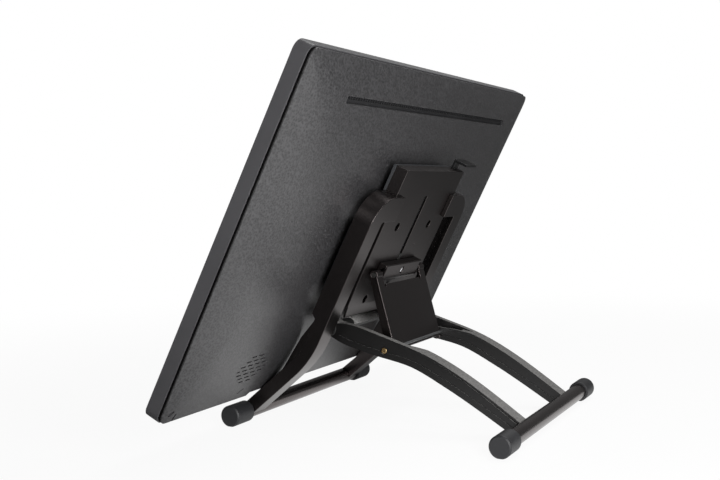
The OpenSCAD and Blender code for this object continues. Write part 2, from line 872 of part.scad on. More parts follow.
// Mounting pad, base plate, tray and guide
module mount_pad() {
    color("#1c1c1d") panel() difference() {
        slab(-pad_half, pad_half, mount_b - pad_half, mount_b + pad_half, bulge, pad_c);
        at_mounts() post(mount_shank_r + screw_gap, bulge - 1, pad_c + 1);
    }
}
module mount_screws() {
    color("#55585c") panel() at_mounts() {
        post(mount_head_r, base_back, base_back + mount_head_t);
        post(mount_shank_r, bulge - wall - mount_deep, base_back + eps);
    }
}
module base_plate() {
    color("#26262a") panel() difference() {
        union() {
            slab(-tray_half, tray_half, tray_bottom - 9, tray_top, base_c, base_back);
            for (s = [-1, 1]) {
                sided(s) slab(0, leg_out - leg_wall, wing_lo, wing_hi, base_c, base_back);
            }
            slab(-knuckle_half, knuckle_half, pivot_b - web_half, tray_bottom, base_c, base_back);
            translate([-knuckle_half, 0, 0]) across_x() linear_extrude(2 * knuckle_half) {
                translate(pivot) circle(knuckle_r);
                translate([pivot_b - web_half, base_c]) square([2 * web_half, pivot_c - base_c]);
            }
            slab(-lever_x - 5, -lever_x + 5, spring_lo - spring_seat, spring_lo, base_c,
                spring_c + spring_r);
        }
        translate([-knuckle_half - 1, 0, 0]) across_x() linear_extrude(2 * knuckle_half + 2)
            translate(pivot) circle(shaft_r + seat_gap);
        translate([knuckle_cut_x - knuckle_cut_w / 2, 0, 0]) across_x() linear_extrude(knuckle_cut_w)
            translate(pivot) difference() {
                translate([-knuckle_r - 1, 0]) square([2 * knuckle_r + 2, knuckle_r + 1]);
                circle(knuckle_r - knuckle_cut_t);
            }
        translate([-knuckle_half - 1, 0, 0]) across_x() linear_extrude(2 * knuckle_half + 2)
            translate(pivot) polygon(knuckle_open);
        at_mounts() post(mount_shank_r + screw_gap, base_c - 1, base_back + 1);
    }
}
module tray_outline(inset) {
    side = tray_half - inset;
    low = tray_bottom + inset;
    high = tray_top - inset;
    polygon([
        [-side, high], [side, high], [side, taper_b], [side - taper_in, low],
        [taper_in - side, low], [-side, taper_b]
    ]);
}
module slide_tray() {
    color("#2a2827") panel() difference() {
        union() {
            difference() {
                translate([0, 0, base_back]) linear_extrude(tray_c - base_back) tray_outline(0);
                translate([0, 0, base_back - 1]) linear_extrude(tray_c - tray_wall - base_back + 1)
                    tray_outline(tray_wall);
            }
            intersection() {
                translate([-tray_half, 0, 0]) across_x() linear_extrude(2 * tray_half) polygon([
                    [tray_bottom + 1, tray_c], [tray_bottom, tray_c], [lip_b, lip_c],
                    [lip_b, lip_c - tray_wall], [tray_bottom + 1, tray_c - tray_wall]
                ]);
                translate([0, 0, lip_c - 2 * tray_wall]) linear_extrude(tray_c) polygon([
                    [-lip_top_half, tray_bottom + 2], [lip_top_half, tray_bottom + 2],
                    [lip_top_half, tray_bottom], [lip_half, lip_b - 1],
                    [-lip_half, lip_b - 1], [-lip_top_half, tray_bottom]
                ]);
            }
        }
        slab(-track_w / 2, track_w / 2, track_lo, track_top, tray_c - tray_wall - 1, tray_c + 1);
        at_mounts() {
            post(access_r, tray_c - tray_wall - 1, tray_c + 1);
            post(mount_head_r + screw_gap, base_back - 1, base_back + mount_head_t + screw_gap);
        }
        translate([stop_hole[0], stop_hole[1], 0]) post(stop_hole_r, tray_c - tray_wall - 1, tray_c + 1);
        for (s = [-1, 1], b = leg_screw_rows) {
            translate([s * leg_screw_x, b, 0])
                post(leg_screw_r + seat_gap, tray_c - tray_wall - 1, tray_c + 1);
        }
        slab(-lever_x - stem_w / 2 - slide_gap, -lever_x + stem_w / 2 + slide_gap, tray_top - tray_wall - 1,
            tray_top + 1, stem_c - slide_gap, stem_c + stem_t + slide_gap);
    }
}
module guide_rods() {
    color("#b9bcc0") panel() for (s = [-1, 1]) {
        translate([s * rod_x, tray_bottom + tray_wall, rod_c]) rotate([-90, 0, 0])
            cylinder(r = rod_r, h = tray_top - tray_bottom - 2 * tray_wall);
    }
}
module leg_screws() {
    color("#55585c") panel() for (s = [-1, 1], b = leg_screw_rows) {
        translate([s * leg_screw_x, b, 0]) {
            post(leg_screw_head, tray_c - tray_wall - leg_screw_head_t, tray_c - tray_wall);
            post(leg_screw_r, tray_c - tray_wall - eps, tray_c + leg_screw_deep - leg_screw_short);
        }
    }
}

// Legs
function leg_back() = concat(arc(bend_mid, leg_bend_r, 90, 90 + leg_bend), [bar + leg_depth / 2 * across]);
function leg_back_in() = concat(arc(bend_mid, leg_bend_r - flange_t, 90, 90 + leg_bend),
    [bar + (leg_depth / 2 - flange_t) * across]);
window_r = 3;
module rail_outline() {
    difference() {
        union() {
            translate([shoulder_x, leg_join]) square([shoulder_r, shoulder_mid_b - leg_join]);
            translate([tab_in, shoulder_b - tab_h]) square([shoulder_x - tab_in, tab_h]);
            shoulder_quarter(shoulder_r);
        }
        translate([0, leg_join - 9]) square([leg_in - window_r, shoulder_b - tab_h - leg_join + 9]);
        translate([0, leg_join - 9]) square([leg_in, shoulder_b - tab_h - leg_join + 9 - window_r]);
        translate([leg_in - window_r, shoulder_b - tab_h - window_r]) circle(window_r);
    }
}
module shoulder_quarter(r) {
    translate([shoulder_x, shoulder_mid_b]) intersection() {
        circle(r);
        square(shoulder_r + 1);
    }
}
module shoulder_wall() {
    difference() {
        shoulder_quarter(shoulder_r);
        shoulder_quarter(shoulder_r - leg_wall);
    }
    translate([tray_half, shoulder_b - leg_wall]) square([shoulder_x - tray_half, leg_wall]);
}
module leg_outer_side() {
    polygon(concat([[shoulder_mid_b, rail_c]], leg_back(), [
        bar - leg_depth / 2 * across, [relief_lo, relief_c], [relief_b - 3, relief_c],
        [relief_b, rail_front_c], [shoulder_mid_b, rail_front_c]
    ]));
}
module leg_inner_side() {
    polygon(concat([[gusset[0][0], rail_c]], leg_back(), [bar - leg_depth / 2 * across], turned(gusset)));
}
module leg_back_wall() {
    polygon(concat([[leg_join, rail_c]], leg_back(), turned(leg_back_in()), [[leg_join, tray_c]]));
}
module leg_form() {
    difference() {
        union() {
            translate([0, 0, tray_c]) linear_extrude(flange_t) rail_outline();
            translate([0, 0, rail_front_c]) linear_extrude(tray_c - rail_front_c) shoulder_wall();
            translate([leg_out - leg_wall, 0, 0]) across_x() linear_extrude(leg_wall) leg_outer_side();
            translate([leg_in, 0, 0]) across_x() linear_extrude(leg_wall) leg_inner_side();
            translate([leg_in, 0, 0]) across_x() linear_extrude(leg_w) leg_back_wall();
        }
        translate([leg_in - 1, bar[0], bar[1]]) across_x() cylinder(r = tube_r + seat_gap, h = leg_w + 2);
        for (b = leg_screw_rows) {
            translate([leg_screw_x, b, 0]) post(leg_screw_r + seat_gap, tray_c - 1, tray_c + leg_screw_deep);
        }
    }
}
module right_leg() {
    color("#1a1a1b") panel() sided(1) leg_form();
}
module left_leg() {
    color("#1a1a1b") panel() sided(-1) leg_form();
}

// Foot bars and caps
module foot_bar(y) {
    translate([-bar_half, y, bar_z]) rotate([0, 90, 0]) difference() {
        cylinder(r = tube_r, h = 2 * bar_half);
        translate([0, 0, -1]) cylinder(r = tube_r - tube_wall, h = 2 * bar_half + 2);
    }
}
cap_play = 0.2;
cap_edge = 1.2;
module cap(s, y) {
    color("#2b2e33") translate([0, y, bar_z]) sided(s) difference() {
        translate([leg_out + cap_play, 0, 0]) rotate([0, 90, 0]) rotate_extrude() polygon([
            [0, 0], [cap_r - cap_edge / 2, 0], [cap_r, cap_edge / 2], [cap_r, cap_len - cap_edge],
            [cap_r - cap_edge, cap_len], [0, cap_len]
        ]);
        translate([leg_out - 1, 0, 0]) rotate([0, 90, 0])
            cylinder(r = tube_r + seat_gap, h = bar_half - leg_out + 1);
        translate([0, -cap_r, -bar_z - cap_r]) cube([leg_out + cap_len + 9, 2 * cap_r, cap_r]);
    }
}
module front_foot_bar() {
    color("#1d1d1e") foot_bar(front_y);
}
module rear_foot_bar() {
    color("#1d1d1e") foot_bar(rear_y);
}
module front_right_cap() {
    cap(1, front_y);
}
module front_left_cap() {
    cap(-1, front_y);
}
module rear_right_cap() {
    cap(1, rear_y);
}
module rear_left_cap() {
    cap(-1, rear_y);
}

// Pivot, arms and prop
module pivot_shaft() {
    head_in = arm_x + arm_w / 2 + slide_gap;
    color("#2b2c2e") panel() translate([0, pivot_b, pivot_c]) across_x() {
        translate([0, 0, -head_in - eps]) cylinder(r = shaft_r, h = 2 * (head_in + eps));
        for (s = [-1, 1]) {
            translate([0, 0, s * (head_in + shaft_head_t / 2) - shaft_head_t / 2])
                cylinder(r = shaft_head_r, h = shaft_head_t);
        }
    }
}
module pivot_spacers() {
    gap = arm_x - arm_w / 2 - knuckle_half - slide_gap;
    color("#17181a") panel() for (s = [-1, 1]) {
        sided(s) translate([knuckle_half, pivot_b, pivot_c]) across_x() difference() {
            cylinder(r = knuckle_r - 0.8, h = gap);
            translate([0, 0, -1]) cylinder(r = shaft_r + seat_gap, h = gap + 2);
        }
    }
}
module arm_side() {
    polygon(concat(along_arm(arm_top), turned(along_arm(arm_low))));
    circle(arm_eye_r);
}
module arm_flange() {
    polygon(concat(along_arm(arm_top), turned(raised(along_arm(arm_top), -flange_h))));
}
module arm_hollow() {
    difference() {
        polygon(concat(raised(along_arm(arm_top), -flange_h), turned(raised(along_arm(arm_low), -9))));
        translate([-arm_len, -arm_len]) square([arm_len + 2 * boss_half, 2 * arm_len]);
        translate([prop_along - boss_half, -arm_len]) square([2 * boss_half, 2 * arm_len]);
        translate([arm_len - tube_r - boss_half, -arm_len]) square([arm_len, 2 * arm_len]);
    }
}
module arm_groove() {
    difference() {
        polygon(concat(raised(along_arm(arm_low), groove_up + groove_w),
            turned(raised(along_arm(arm_low), groove_up))));
        circle(arm_eye_r + 3);
    }
}
module over(p) {
    polygon(concat(p, [[p[len(p) - 1][0], arm_len], [p[0][0], arm_len]]));
}
module arm_edge_gap() {
    line = [for (q = along_arm(arm_top)) if (q[0] > edge_from * arm_len) q - [0, edge_t]];
    polygon(concat(line, turned([
        for (q = line) q - [0, edge_gap * (q[0] / arm_len - edge_from) / (1 - edge_from)]
    ])));
}
module arm_form() {
    inside = along_arm(arm_inside);
    between = [for (q = inside) if (q[0] > open_from * arm_len && q[0] < open_to * arm_len) q];
    difference() {
        union() {
            translate([0, 0, arm_x - arm_w / 2]) linear_extrude(arm_w) arm_flange();
            translate([0, 0, arm_x - web_w / 2]) linear_extrude(web_w) arm_side();
        }
        translate([0, 0, arm_x - web_w / 2 + arm_wall]) linear_extrude(web_w - 2 * arm_wall) arm_hollow();
        translate([0, 0, arm_x - arm_w / 2 - 1]) linear_extrude(arm_w - strip_w + 1) over(inside);
        translate([0, 0, arm_x - web_w / 2 + arm_wall])
            linear_extrude(web_w / 2 - arm_wall + arm_w / 2 - strip_w)
                over(raised(between, -open_deep));
        translate([0, 0, arm_x + web_w / 2 - edge_gap_t]) linear_extrude(arm_w) arm_edge_gap();
        for (z = [arm_x - web_w / 2 - 1, arm_x + web_w / 2 - groove_t]) {
            translate([0, 0, z]) linear_extrude(groove_t + 1) arm_groove();
        }
        translate([0, 0, arm_x - arm_w]) cylinder(r = shaft_r + run_gap, h = 2 * arm_w);
        translate([prop_along, prop_rise, arm_x - arm_w]) cylinder(r = prop_rod_r + seat_gap, h = 2 * arm_w);
        translate([prop_along, prop_rise, arm_x + web_w / 2 - brass_head_t])
            cylinder(r = brass_head_r + brass_room, h = arm_w);
        translate([arm_len, 0, arm_x - arm_w]) cylinder(r = tube_r + seat_gap, h = 2 * arm_w);
    }
}
module right_arm() {
    color("#232324") sided(1) arm_frame() arm_form();
}
module left_arm() {
    color("#232324") sided(-1) arm_frame() arm_form();
}
module prop_rod() {
    half = arm_x + web_w / 2 - brass_head_t;
    color("#6d6f73") arm_frame() translate([prop_along, prop_rise, -half]) difference() {
        cylinder(r = prop_rod_r, h = 2 * half);
        for (z = [-1, 2 * half - brass_deep]) {
            translate([0, 0, z]) cylinder(r = brass_shank_r + seat_gap, h = brass_deep + 1);
        }
    }
}
module prop_screws() {
    half = arm_x + web_w / 2 - brass_head_t;
    color("#b08a3c") for (s = [-1, 1]) {
        sided(s) arm_frame() translate([prop_along, prop_rise, half]) {
            cylinder(r = brass_head_r, h = brass_head_t);
            translate([0, 0, 1 - brass_deep]) cylinder(r = brass_shank_r, h = brass_deep - 1 + eps);
        }
    }
}
module prop_side_wall() {
    intersection() {
        union() {
            circle(prop_eye_r);
            translate([prop_len, 0]) circle(pin_eye_r);
            polygon([[0, prop_back], [prop_len, prop_back], [prop_len, -pin_eye_r], [0, -prop_eye_r]]);
        }
        translate([-prop_eye_r, prop_back - 2 * prop_len]) square([prop_len + 2 * prop_eye_r, 2 * prop_len]);
    }
}
module prop_plate() {
    color("#211d1b") prop_frame() difference() {
        union() {
            translate([-3, prop_back - prop_t, -prop_half]) cube([prop_len + 3, prop_t, 2 * prop_half]);
            for (z = [-prop_half, prop_half - prop_side]) {
                translate([0, 0, z]) linear_extrude(prop_side) prop_side_wall();
            }
            for (z = [-prop_half, ear_in]) {
                translate([prop_len, 0, z]) cylinder(r = pin_eye_r, h = prop_half - ear_in);
            }
        }
        translate([prop_len - notch_deep, -prop_len, -ear_in]) cube([prop_len, 2 * prop_len, 2 * ear_in]);
        for (s = [-1, 1]) {
            translate([prop_len - notch_deep - relief_in, -prop_len, s * (ear_in - relief_r)])
                rotate([-90, 0, 0]) cylinder(r = relief_r, h = 2 * prop_len);
        }
        translate([0, 0, -prop_half - 1]) cylinder(r = prop_rod_r + run_gap, h = 2 * prop_half + 2);
        translate([prop_len, 0, -prop_half - 1]) cylinder(r = pin_r + seat_gap, h = 2 * prop_half + 2);
    }
}
module prop_pins() {
    color("#8d9094") prop_frame() for (s = [-1, 1]) {
        translate([prop_len, 0, s > 0 ? cradle_x + 0.5 : -prop_half])
            cylinder(r = pin_r, h = prop_half - cradle_x - 0.5);
    }
}

// Carriage
module carriage_bracket() {
    color("#242120") panel() difference() {
        translate([-bracket_half, 0, 0]) across_x() linear_extrude(2 * bracket_half) polygon([
            [bracket_lo, bracket_c], [bracket_hi, bracket_c], [bracket_hi, bracket_back - bracket_edge],
            [bracket_hi - bracket_edge, bracket_back],
            each arc([bracket_lo + bracket_roll, bracket_back - bracket_roll], bracket_roll, 90, 180, 8)
        ]);
        for (s = [-1, 1]) {
            sided(s) translate([cradle_x, pin_b, pin_c]) across_x() linear_extrude(bracket_half)
                rotate(cradle_angle) translate([-pin_r - cradle_gap, -pin_r - cradle_gap])
                    square([cradle_len, 2 * (pin_r + cradle_gap)]);
        }
        translate([0, screw_b, 0]) {
            post(screw_r + seat_gap, bracket_c - 1, bracket_back + 1);
            post(screw_head_r + screw_sunk, bracket_back - screw_head_t - screw_sunk, bracket_back + 1);
        }
    }
}
module slide_block() {
    color("#1c1c1d") panel() difference() {
        union() {
            slab(-block_half, block_half, block_lo, block_hi, block_c, block_back);
            slab(-neck_half, neck_half, block_lo, block_hi, block_back - eps, bracket_c);
        }
        for (s = [-1, 1]) {
            translate([s * rod_x, block_lo - 1, rod_c]) rotate([-90, 0, 0])
                cylinder(r = rod_r + run_gap, h = block_hi - block_lo + 2);
        }
        translate([0, screw_b, 0]) post(screw_r + seat_gap, block_c + 1, bracket_c + 1);
    }
}
module carriage_screw() {
    color("#d5d7da") panel() translate([0, screw_b, 0]) {
        post(screw_head_r, bracket_back - screw_head_t - screw_sunk, bracket_back - screw_sunk);
        post(screw_r, block_c + screw_r, bracket_back - screw_head_t);
    }
}

// Lever and lock
module release_lever() {
    left = -lever_x - stem_w / 2;
    right = -lever_x + stem_w / 2;
    color("#151516") panel() {
        slab(left, right, cross_b, finger_b + eps, stem_c, stem_c + stem_t);
        slab(right - finger_w, right, finger_b, finger_b + finger_t, stem_c, stem_c + finger_l);
        slab(right - eps, -lock_bar_x + lock_bar_w / 2, cross_b, cross_b + cross_h, stem_c, stem_c + stem_t);
    }
}
tooth_pitch = 5;
tooth_h = 1;
module lock_bar() {
    x0 = -lock_bar_x - lock_bar_w / 2;
    x1 = -lock_bar_x + lock_bar_w / 2;
    color("#8d9094") panel() difference() {
        slab(x0, x1, lock_bar_lo, cross_b, stem_c, stem_c + stem_t);
        for (b = [lock_bar_lo + tooth_pitch : tooth_pitch : cross_b - tooth_pitch]) {
            slab(x1 - tooth_h, x1 + 1, b, b + tooth_pitch / 2, stem_c - 1, stem_c + stem_t + 1);
        }
    }
}
module lever_spring() {
    color("#b9bcc0") panel() translate([-lever_x, spring_lo, spring_c]) rotate([-90, 0, 0]) difference() {
        cylinder(r = spring_r, h = cross_b - spring_lo);
        translate([0, 0, -1]) cylinder(r = spring_r - spring_wire, h = cross_b - spring_lo + 2);
    }
}

front_bezel();
cover_glass();
lcd_panel();
backlight_tray();
pen_sensor_sheet();
chassis_plate();
main_board();
power_board();
board_screws();
port_board();
video_socket();
usb_socket();
power_socket();
key_board();
power_key();
menu_key();
up_key();
down_key();
select_key();
rear_cover();
vent_grille();
right_speaker();
left_speaker();
lock_slot_plate();
mount_pad();
mount_screws();
base_plate();
slide_tray();
guide_rods();
leg_screws();
right_leg();
left_leg();
front_foot_bar();
front_right_cap();
front_left_cap();
pivot_shaft();
pivot_spacers();
right_arm();
left_arm();
rear_foot_bar();
rear_right_cap();
rear_left_cap();
prop_rod();
prop_screws();
prop_plate();
prop_pins();
carriage_bracket();
slide_block();
carriage_screw();
release_lever();
lock_bar();
lever_spring();
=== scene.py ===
"""Looks of a pen display on a folding stand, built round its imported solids."""

import math

import bmesh
import bpy
from bpy.props import FloatProperty, FloatVectorProperty, IntProperty, PointerProperty
from mathutils import Matrix, Vector


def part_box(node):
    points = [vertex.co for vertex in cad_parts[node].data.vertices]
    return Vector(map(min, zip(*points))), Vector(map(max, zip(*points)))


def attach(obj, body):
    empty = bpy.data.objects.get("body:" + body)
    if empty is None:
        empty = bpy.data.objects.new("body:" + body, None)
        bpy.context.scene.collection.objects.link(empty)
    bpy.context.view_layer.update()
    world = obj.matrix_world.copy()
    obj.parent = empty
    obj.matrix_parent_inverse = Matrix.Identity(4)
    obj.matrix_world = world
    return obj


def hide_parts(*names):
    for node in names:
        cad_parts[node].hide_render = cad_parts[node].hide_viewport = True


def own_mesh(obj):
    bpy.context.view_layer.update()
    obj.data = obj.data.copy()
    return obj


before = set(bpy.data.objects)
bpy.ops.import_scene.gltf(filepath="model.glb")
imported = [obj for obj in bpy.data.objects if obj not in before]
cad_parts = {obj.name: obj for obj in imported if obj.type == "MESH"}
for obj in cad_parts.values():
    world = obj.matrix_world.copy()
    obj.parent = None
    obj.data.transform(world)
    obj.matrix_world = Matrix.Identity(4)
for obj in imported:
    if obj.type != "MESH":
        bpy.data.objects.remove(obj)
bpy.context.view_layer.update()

bl_info = {
    "name": "Pen display on a folding stand",
    "version": (1, 0, 0),
    "blender": (4, 5, 0),
    "location": "View3D > Sidebar > Pen display",
    "description": "Dresses the packed solids of a pen display and its stand",
    "category": "Add Mesh",
}

MM = 0.001

# Edges: metres, then degrees
WELD_DISTANCE = 0.000004
FLAT_ANGLE = 0.4
SHARP_ANGLE = 32.0

# Lean of the display, and the foot of its back in millimetres
TILT = math.radians(64.2)
UP_Y = math.cos(TILT)
UP_Z = math.sin(TILT)
RIM_Y = -114.8036
RIM_Z = 27.1067

# Display, in millimetres and degrees
DISPLAY_W = 515.0
DISPLAY_H = 320.0
CORNER_R = 9.0
WALL = 2.4
BULGE = 11.0
COVER_RUN = (95.0, 140.0, 85.0)
COVER_INSET = 1.0
COVER_LIP = 1.0
COVER_POWER = 3.4
CORNER_GROW = 36.0
RING_CROWDING = 1.5
FLAT_RINGS = (0.8, 0.6, 0.4, 0.2)
PICTURE_HALF_W = 238.3
PICTURE_HALF_H = 134.05
SPEAKER_X = 153.5
SPEAKER_B = 37.5
SLOT_L = 8.0
SLOT_END_L = 5.0
SLOT_H = 1.5
SLOT_PITCH = 11.1
SLOT_ROW_PITCH = 4.45
SLANT_SLOT_X = 147.6
SLANT_SLOT_B = 11.1
SLANT_SLOT_L = 8.4
SLANT_SLOT_TURN = -36.0
VENT_DOWN = 33.5
VENT_HALF = 190.0
VENT_H = 6.0
LOCK_SLOT_IN = 10.0
LOCK_SLOT_B = 10.4
LOCK_SLOT_L = 6.5
LOCK_SLOT_H = 3.0
LOCK_SLOT_TURN = -48.0
NOTCH_IN = 17.0
NOTCH_HALF = 1.3
NOTCH_TOP = 9.0
CUTOUT_HALF = 129.0
CUTOUT_H = 4.5
CUTOUT_SLANT = 3.6
CUT_TOP = 20.0
SEAM_GAP = 262.0
SEAM_OUTER = 1.15
SEAM_INNER = 1.7
SEAM_LOW = -2.15
SEAM_HIGH = -0.05

# Stand, in millimetres
PROP_SCREW = (71.3, -3.892, 67.572)
PROP_SCREW_R = 2.8
PROP_SCREW_H = 1.6
BRACKET_SCREW = (0.0, 137.878, 37.9)
BRACKET_SCREW_R = 3.2
BRACKET_SCREW_H = 2.2
SPRING_L = 16.0
SPRING_R = 2.9
SPRING_WIRE = 0.45
SPRING_TURNS = 7
LEVER_TRAVEL = 5.0

# Camera: metres, then angles
CAMERA_PLACE = Vector((0.9289, 0.38617, 0.2202))
CAMERA_YAW = math.radians(64.207)
CAMERA_PITCH = math.radians(3.28)
CAMERA_ROLL = math.radians(0.06)

# The display's own frame: x, then up the screen, then out of its back
PANEL = Matrix((
    (MM, 0, 0, 0),
    (0, UP_Y * MM, UP_Z * MM, RIM_Y * MM),
    (0, UP_Z * MM, -UP_Y * MM, RIM_Z * MM),
    (0, 0, 0, 1),
))


# Node helpers

def add(tree, kind, props=None, **inputs):
    """A shader node with its settings, values and links."""
    made = tree.nodes.new(kind)
    for key, value in (props or {}).items():
        setattr(made, key, value)
    for key, value in inputs.items():
        socket = made.inputs[int(key[1:])] if key[0] == "_" else made.inputs[key.replace("_", " ")]
        if isinstance(value, bpy.types.NodeSocket):
            tree.links.new(value, socket)
        else:
            socket.default_value = value
    return made


def maths(tree, operation, a, b=0.5, clamp=False):
    """One step of arithmetic."""
    return add(tree, "ShaderNodeMath", {"operation": operation, "use_clamp": clamp}, _0=a, _1=b).outputs[0]


def spread(tree, value, low, high, to_low=0.0, to_high=1.0):
    """A smooth step from one value to another."""
    made = add(tree, "ShaderNodeMapRange", {"interpolation_type": "SMOOTHSTEP"}, Value=value,
               From_Min=low, From_Max=high, To_Min=to_low, To_Max=to_high)
    return made.outputs["Result"]


def mix_colour(tree, factor, a, b, blend="MIX"):
    """Two colours mixed by a factor."""
    made = tree.nodes.new("ShaderNodeMix")
    made.data_type = "RGBA"
    made.blend_type = blend
    for socket, value in ((made.inputs["Factor"], factor), (made.inputs[6], a), (made.inputs[7], b)):
        if isinstance(value, bpy.types.NodeSocket):
            tree.links.new(value, socket)
        else:
            socket.default_value = value
    return made.outputs[2]


def new_group(name, inputs, outputs):
    """An empty node group, with the sockets of its input and output nodes."""
    tree = bpy.data.node_groups.new(name, "ShaderNodeTree")
    for label, value in inputs.items():
        kind = "NodeSocketColor" if isinstance(value, tuple) else "NodeSocketFloat"
        tree.interface.new_socket(label, in_out="INPUT", socket_type=kind).default_value = value
    for label, kind in outputs.items():
        tree.interface.new_socket(label, in_out="OUTPUT", socket_type="NodeSocket" + kind)
    return tree, tree.nodes.new("NodeGroupInput").outputs, tree.nodes.new("NodeGroupOutput").inputs


def object_coords(tree):
    return tree.nodes.new("ShaderNodeTexCoord").outputs["Object"]


def distance_from(tree, point):
    """How far a place on the floor is from a point."""
    made = add(tree, "ShaderNodeVectorMath", {"operation": "DISTANCE"}, _0=object_coords(tree), _1=point)
    return made.outputs["Value"]


def make_groups():
    """The effects that several finishes share."""
    made = {}

    tree, given, put = new_group("moulded_grain", {"Scale": 1200.0}, {"Height": "Float", "Shade": "Float"})
    coords = object_coords(tree)
    fine = add(tree, "ShaderNodeTexNoise", Vector=coords, Scale=given["Scale"], Detail=3.0, Roughness=0.55)
    cells = add(tree, "ShaderNodeTexVoronoi", {"feature": "SMOOTH_F1"}, Vector=coords,
                Scale=maths(tree, "MULTIPLY", given["Scale"], 0.7), Smoothness=0.6)
    height = maths(tree, "ADD", maths(tree, "MULTIPLY", fine.outputs["Fac"], 0.65),
                   maths(tree, "MULTIPLY", cells.outputs["Distance"], 0.5))
    tree.links.new(height, put["Height"])
    tree.links.new(spread(tree, height, 0.3, 0.75), put["Shade"])
    made["grain"] = tree

    tree, given, put = new_group(
        "handled_gloss", {"Roughness": 0.4, "Amount": 0.1, "Scale": 14.0}, {"Roughness": "Float"})
    coords = object_coords(tree)
    broad = add(tree, "ShaderNodeTexNoise", Vector=coords, Scale=given["Scale"], Detail=4.0)
    smear = add(tree, "ShaderNodeTexNoise", Vector=coords, Detail=2.0, Distortion=0.6,
                Scale=maths(tree, "MULTIPLY", given["Scale"], 7.0))
    drift = maths(tree, "ADD", maths(tree, "MULTIPLY", broad.outputs["Fac"], 0.7),
                  maths(tree, "MULTIPLY", smear.outputs["Fac"], 0.3))
    offset = maths(tree, "MULTIPLY", maths(tree, "SUBTRACT", drift, 0.5), given["Amount"])
    tree.links.new(maths(tree, "ADD", given["Roughness"], offset), put["Roughness"])
    made["gloss"] = tree

    tree, given, put = new_group(
        "paint_tone", {"Colour": (0.03, 0.03, 0.03, 1), "Second": (0.05, 0.05, 0.05, 1), "Scale": 20.0},
        {"Colour": "Color"})
    cloud = add(tree, "ShaderNodeTexNoise", Vector=object_coords(tree), Scale=given["Scale"], Detail=5.0,
                Roughness=0.6)
    clouded = spread(tree, cloud.outputs["Fac"], 0.3, 0.72)
    tree.links.new(mix_colour(tree, clouded, given["Colour"], given["Second"]), put["Colour"])
    made["tone"] = tree

    tree, given, put = new_group(
        "drawn_metal", {"Scale": 60.0, "Stretch": 0.04}, {"Height": "Float", "Shade": "Float"})
    stretched = add(tree, "ShaderNodeVectorMath", {"operation": "MULTIPLY"})
    tree.links.new(object_coords(tree), stretched.inputs[0])
    scale = add(tree, "ShaderNodeCombineXYZ", X=maths(tree, "MULTIPLY", given["Scale"], given["Stretch"]),
                Y=given["Scale"], Z=given["Scale"])
    tree.links.new(scale.outputs[0], stretched.inputs[1])
    lines = add(tree, "ShaderNodeTexNoise", Vector=stretched.outputs[0], Scale=20.0, Detail=4.0)
    tree.links.new(lines.outputs["Fac"], put["Height"])
    tree.links.new(spread(tree, lines.outputs["Fac"], 0.3, 0.7), put["Shade"])
    made["drawn"] = tree
    return made


GROUPS = {}
FINISHES = {}


def use(tree, name, **inputs):
    """Places a shared effect and gives its outputs."""
    if not GROUPS:
        GROUPS.update(make_groups())
    return add(tree, "ShaderNodeGroup", {"node_tree": GROUPS[name]}, **inputs).outputs


def shell(name):
    """An empty material with its shader."""
    made = bpy.data.materials.new(name)
    made.use_nodes = True
    return made, made.node_tree, made.node_tree.nodes["Principled BSDF"]


def set_sockets(bsdf, values):
    """Gives a shader's inputs their values."""
    for key, value in values.items():
        bsdf.inputs[key.replace("_", " ")].default_value = value


def paler(colour, share):
    return [v * share for v in colour]


def finish(name, colour, second, roughness, grain=1200.0, depth=0.00004, bump=0.3, drift=0.1, shade=0.0,
           scale=18.0, **sockets):
    """Plastic, paint or rubber: tone, grain and handled gloss."""
    if name in FINISHES:
        return FINISHES[name]
    made, tree, bsdf = shell(name)
    tone = use(tree, "tone", Colour=(*colour, 1), Second=(*second, 1), Scale=scale)
    grains = use(tree, "grain", Scale=grain)
    base = tone["Colour"]
    if shade:
        dark = mix_colour(tree, 1.0, base, (1 - shade, 1 - shade, 1 - shade, 1), "MULTIPLY")
        base = mix_colour(tree, grains["Shade"], dark, base)
    tree.links.new(base, bsdf.inputs["Base Color"])
    gloss = use(tree, "gloss", Roughness=roughness, Amount=drift, Scale=scale)
    tree.links.new(gloss["Roughness"], bsdf.inputs["Roughness"])
    relief = add(tree, "ShaderNodeBump", Height=grains["Height"], Distance=depth, Strength=bump)
    tree.links.new(relief.outputs["Normal"], bsdf.inputs["Normal"])
    set_sockets(bsdf, sockets)
    FINISHES[name] = made
    return made


def metal(name, colour, second, roughness):
    """Bare metal with drawing lines."""
    if name in FINISHES:
        return FINISHES[name]
    made, tree, bsdf = shell(name)
    lines = use(tree, "drawn", Scale=60.0, Stretch=0.04)
    tree.links.new(mix_colour(tree, lines["Shade"], (*colour, 1), (*second, 1)), bsdf.inputs["Base Color"])
    gloss = use(tree, "gloss", Roughness=roughness, Amount=0.12, Scale=40.0)
    tree.links.new(gloss["Roughness"], bsdf.inputs["Roughness"])
    relief = add(tree, "ShaderNodeBump", Height=lines["Height"], Distance=0.00002, Strength=0.15)
    tree.links.new(relief.outputs["Normal"], bsdf.inputs["Normal"])
    bsdf.inputs["Metallic"].default_value = 1.0
    FINISHES[name] = made
    return made


def plain_steel():
    return metal("plain steel", (0.42, 0.43, 0.44), (0.55, 0.56, 0.57), 0.35)


def black_moulding():
    return finish("black moulding", (0.010, 0.010, 0.010), (0.016, 0.015, 0.014), 0.5)


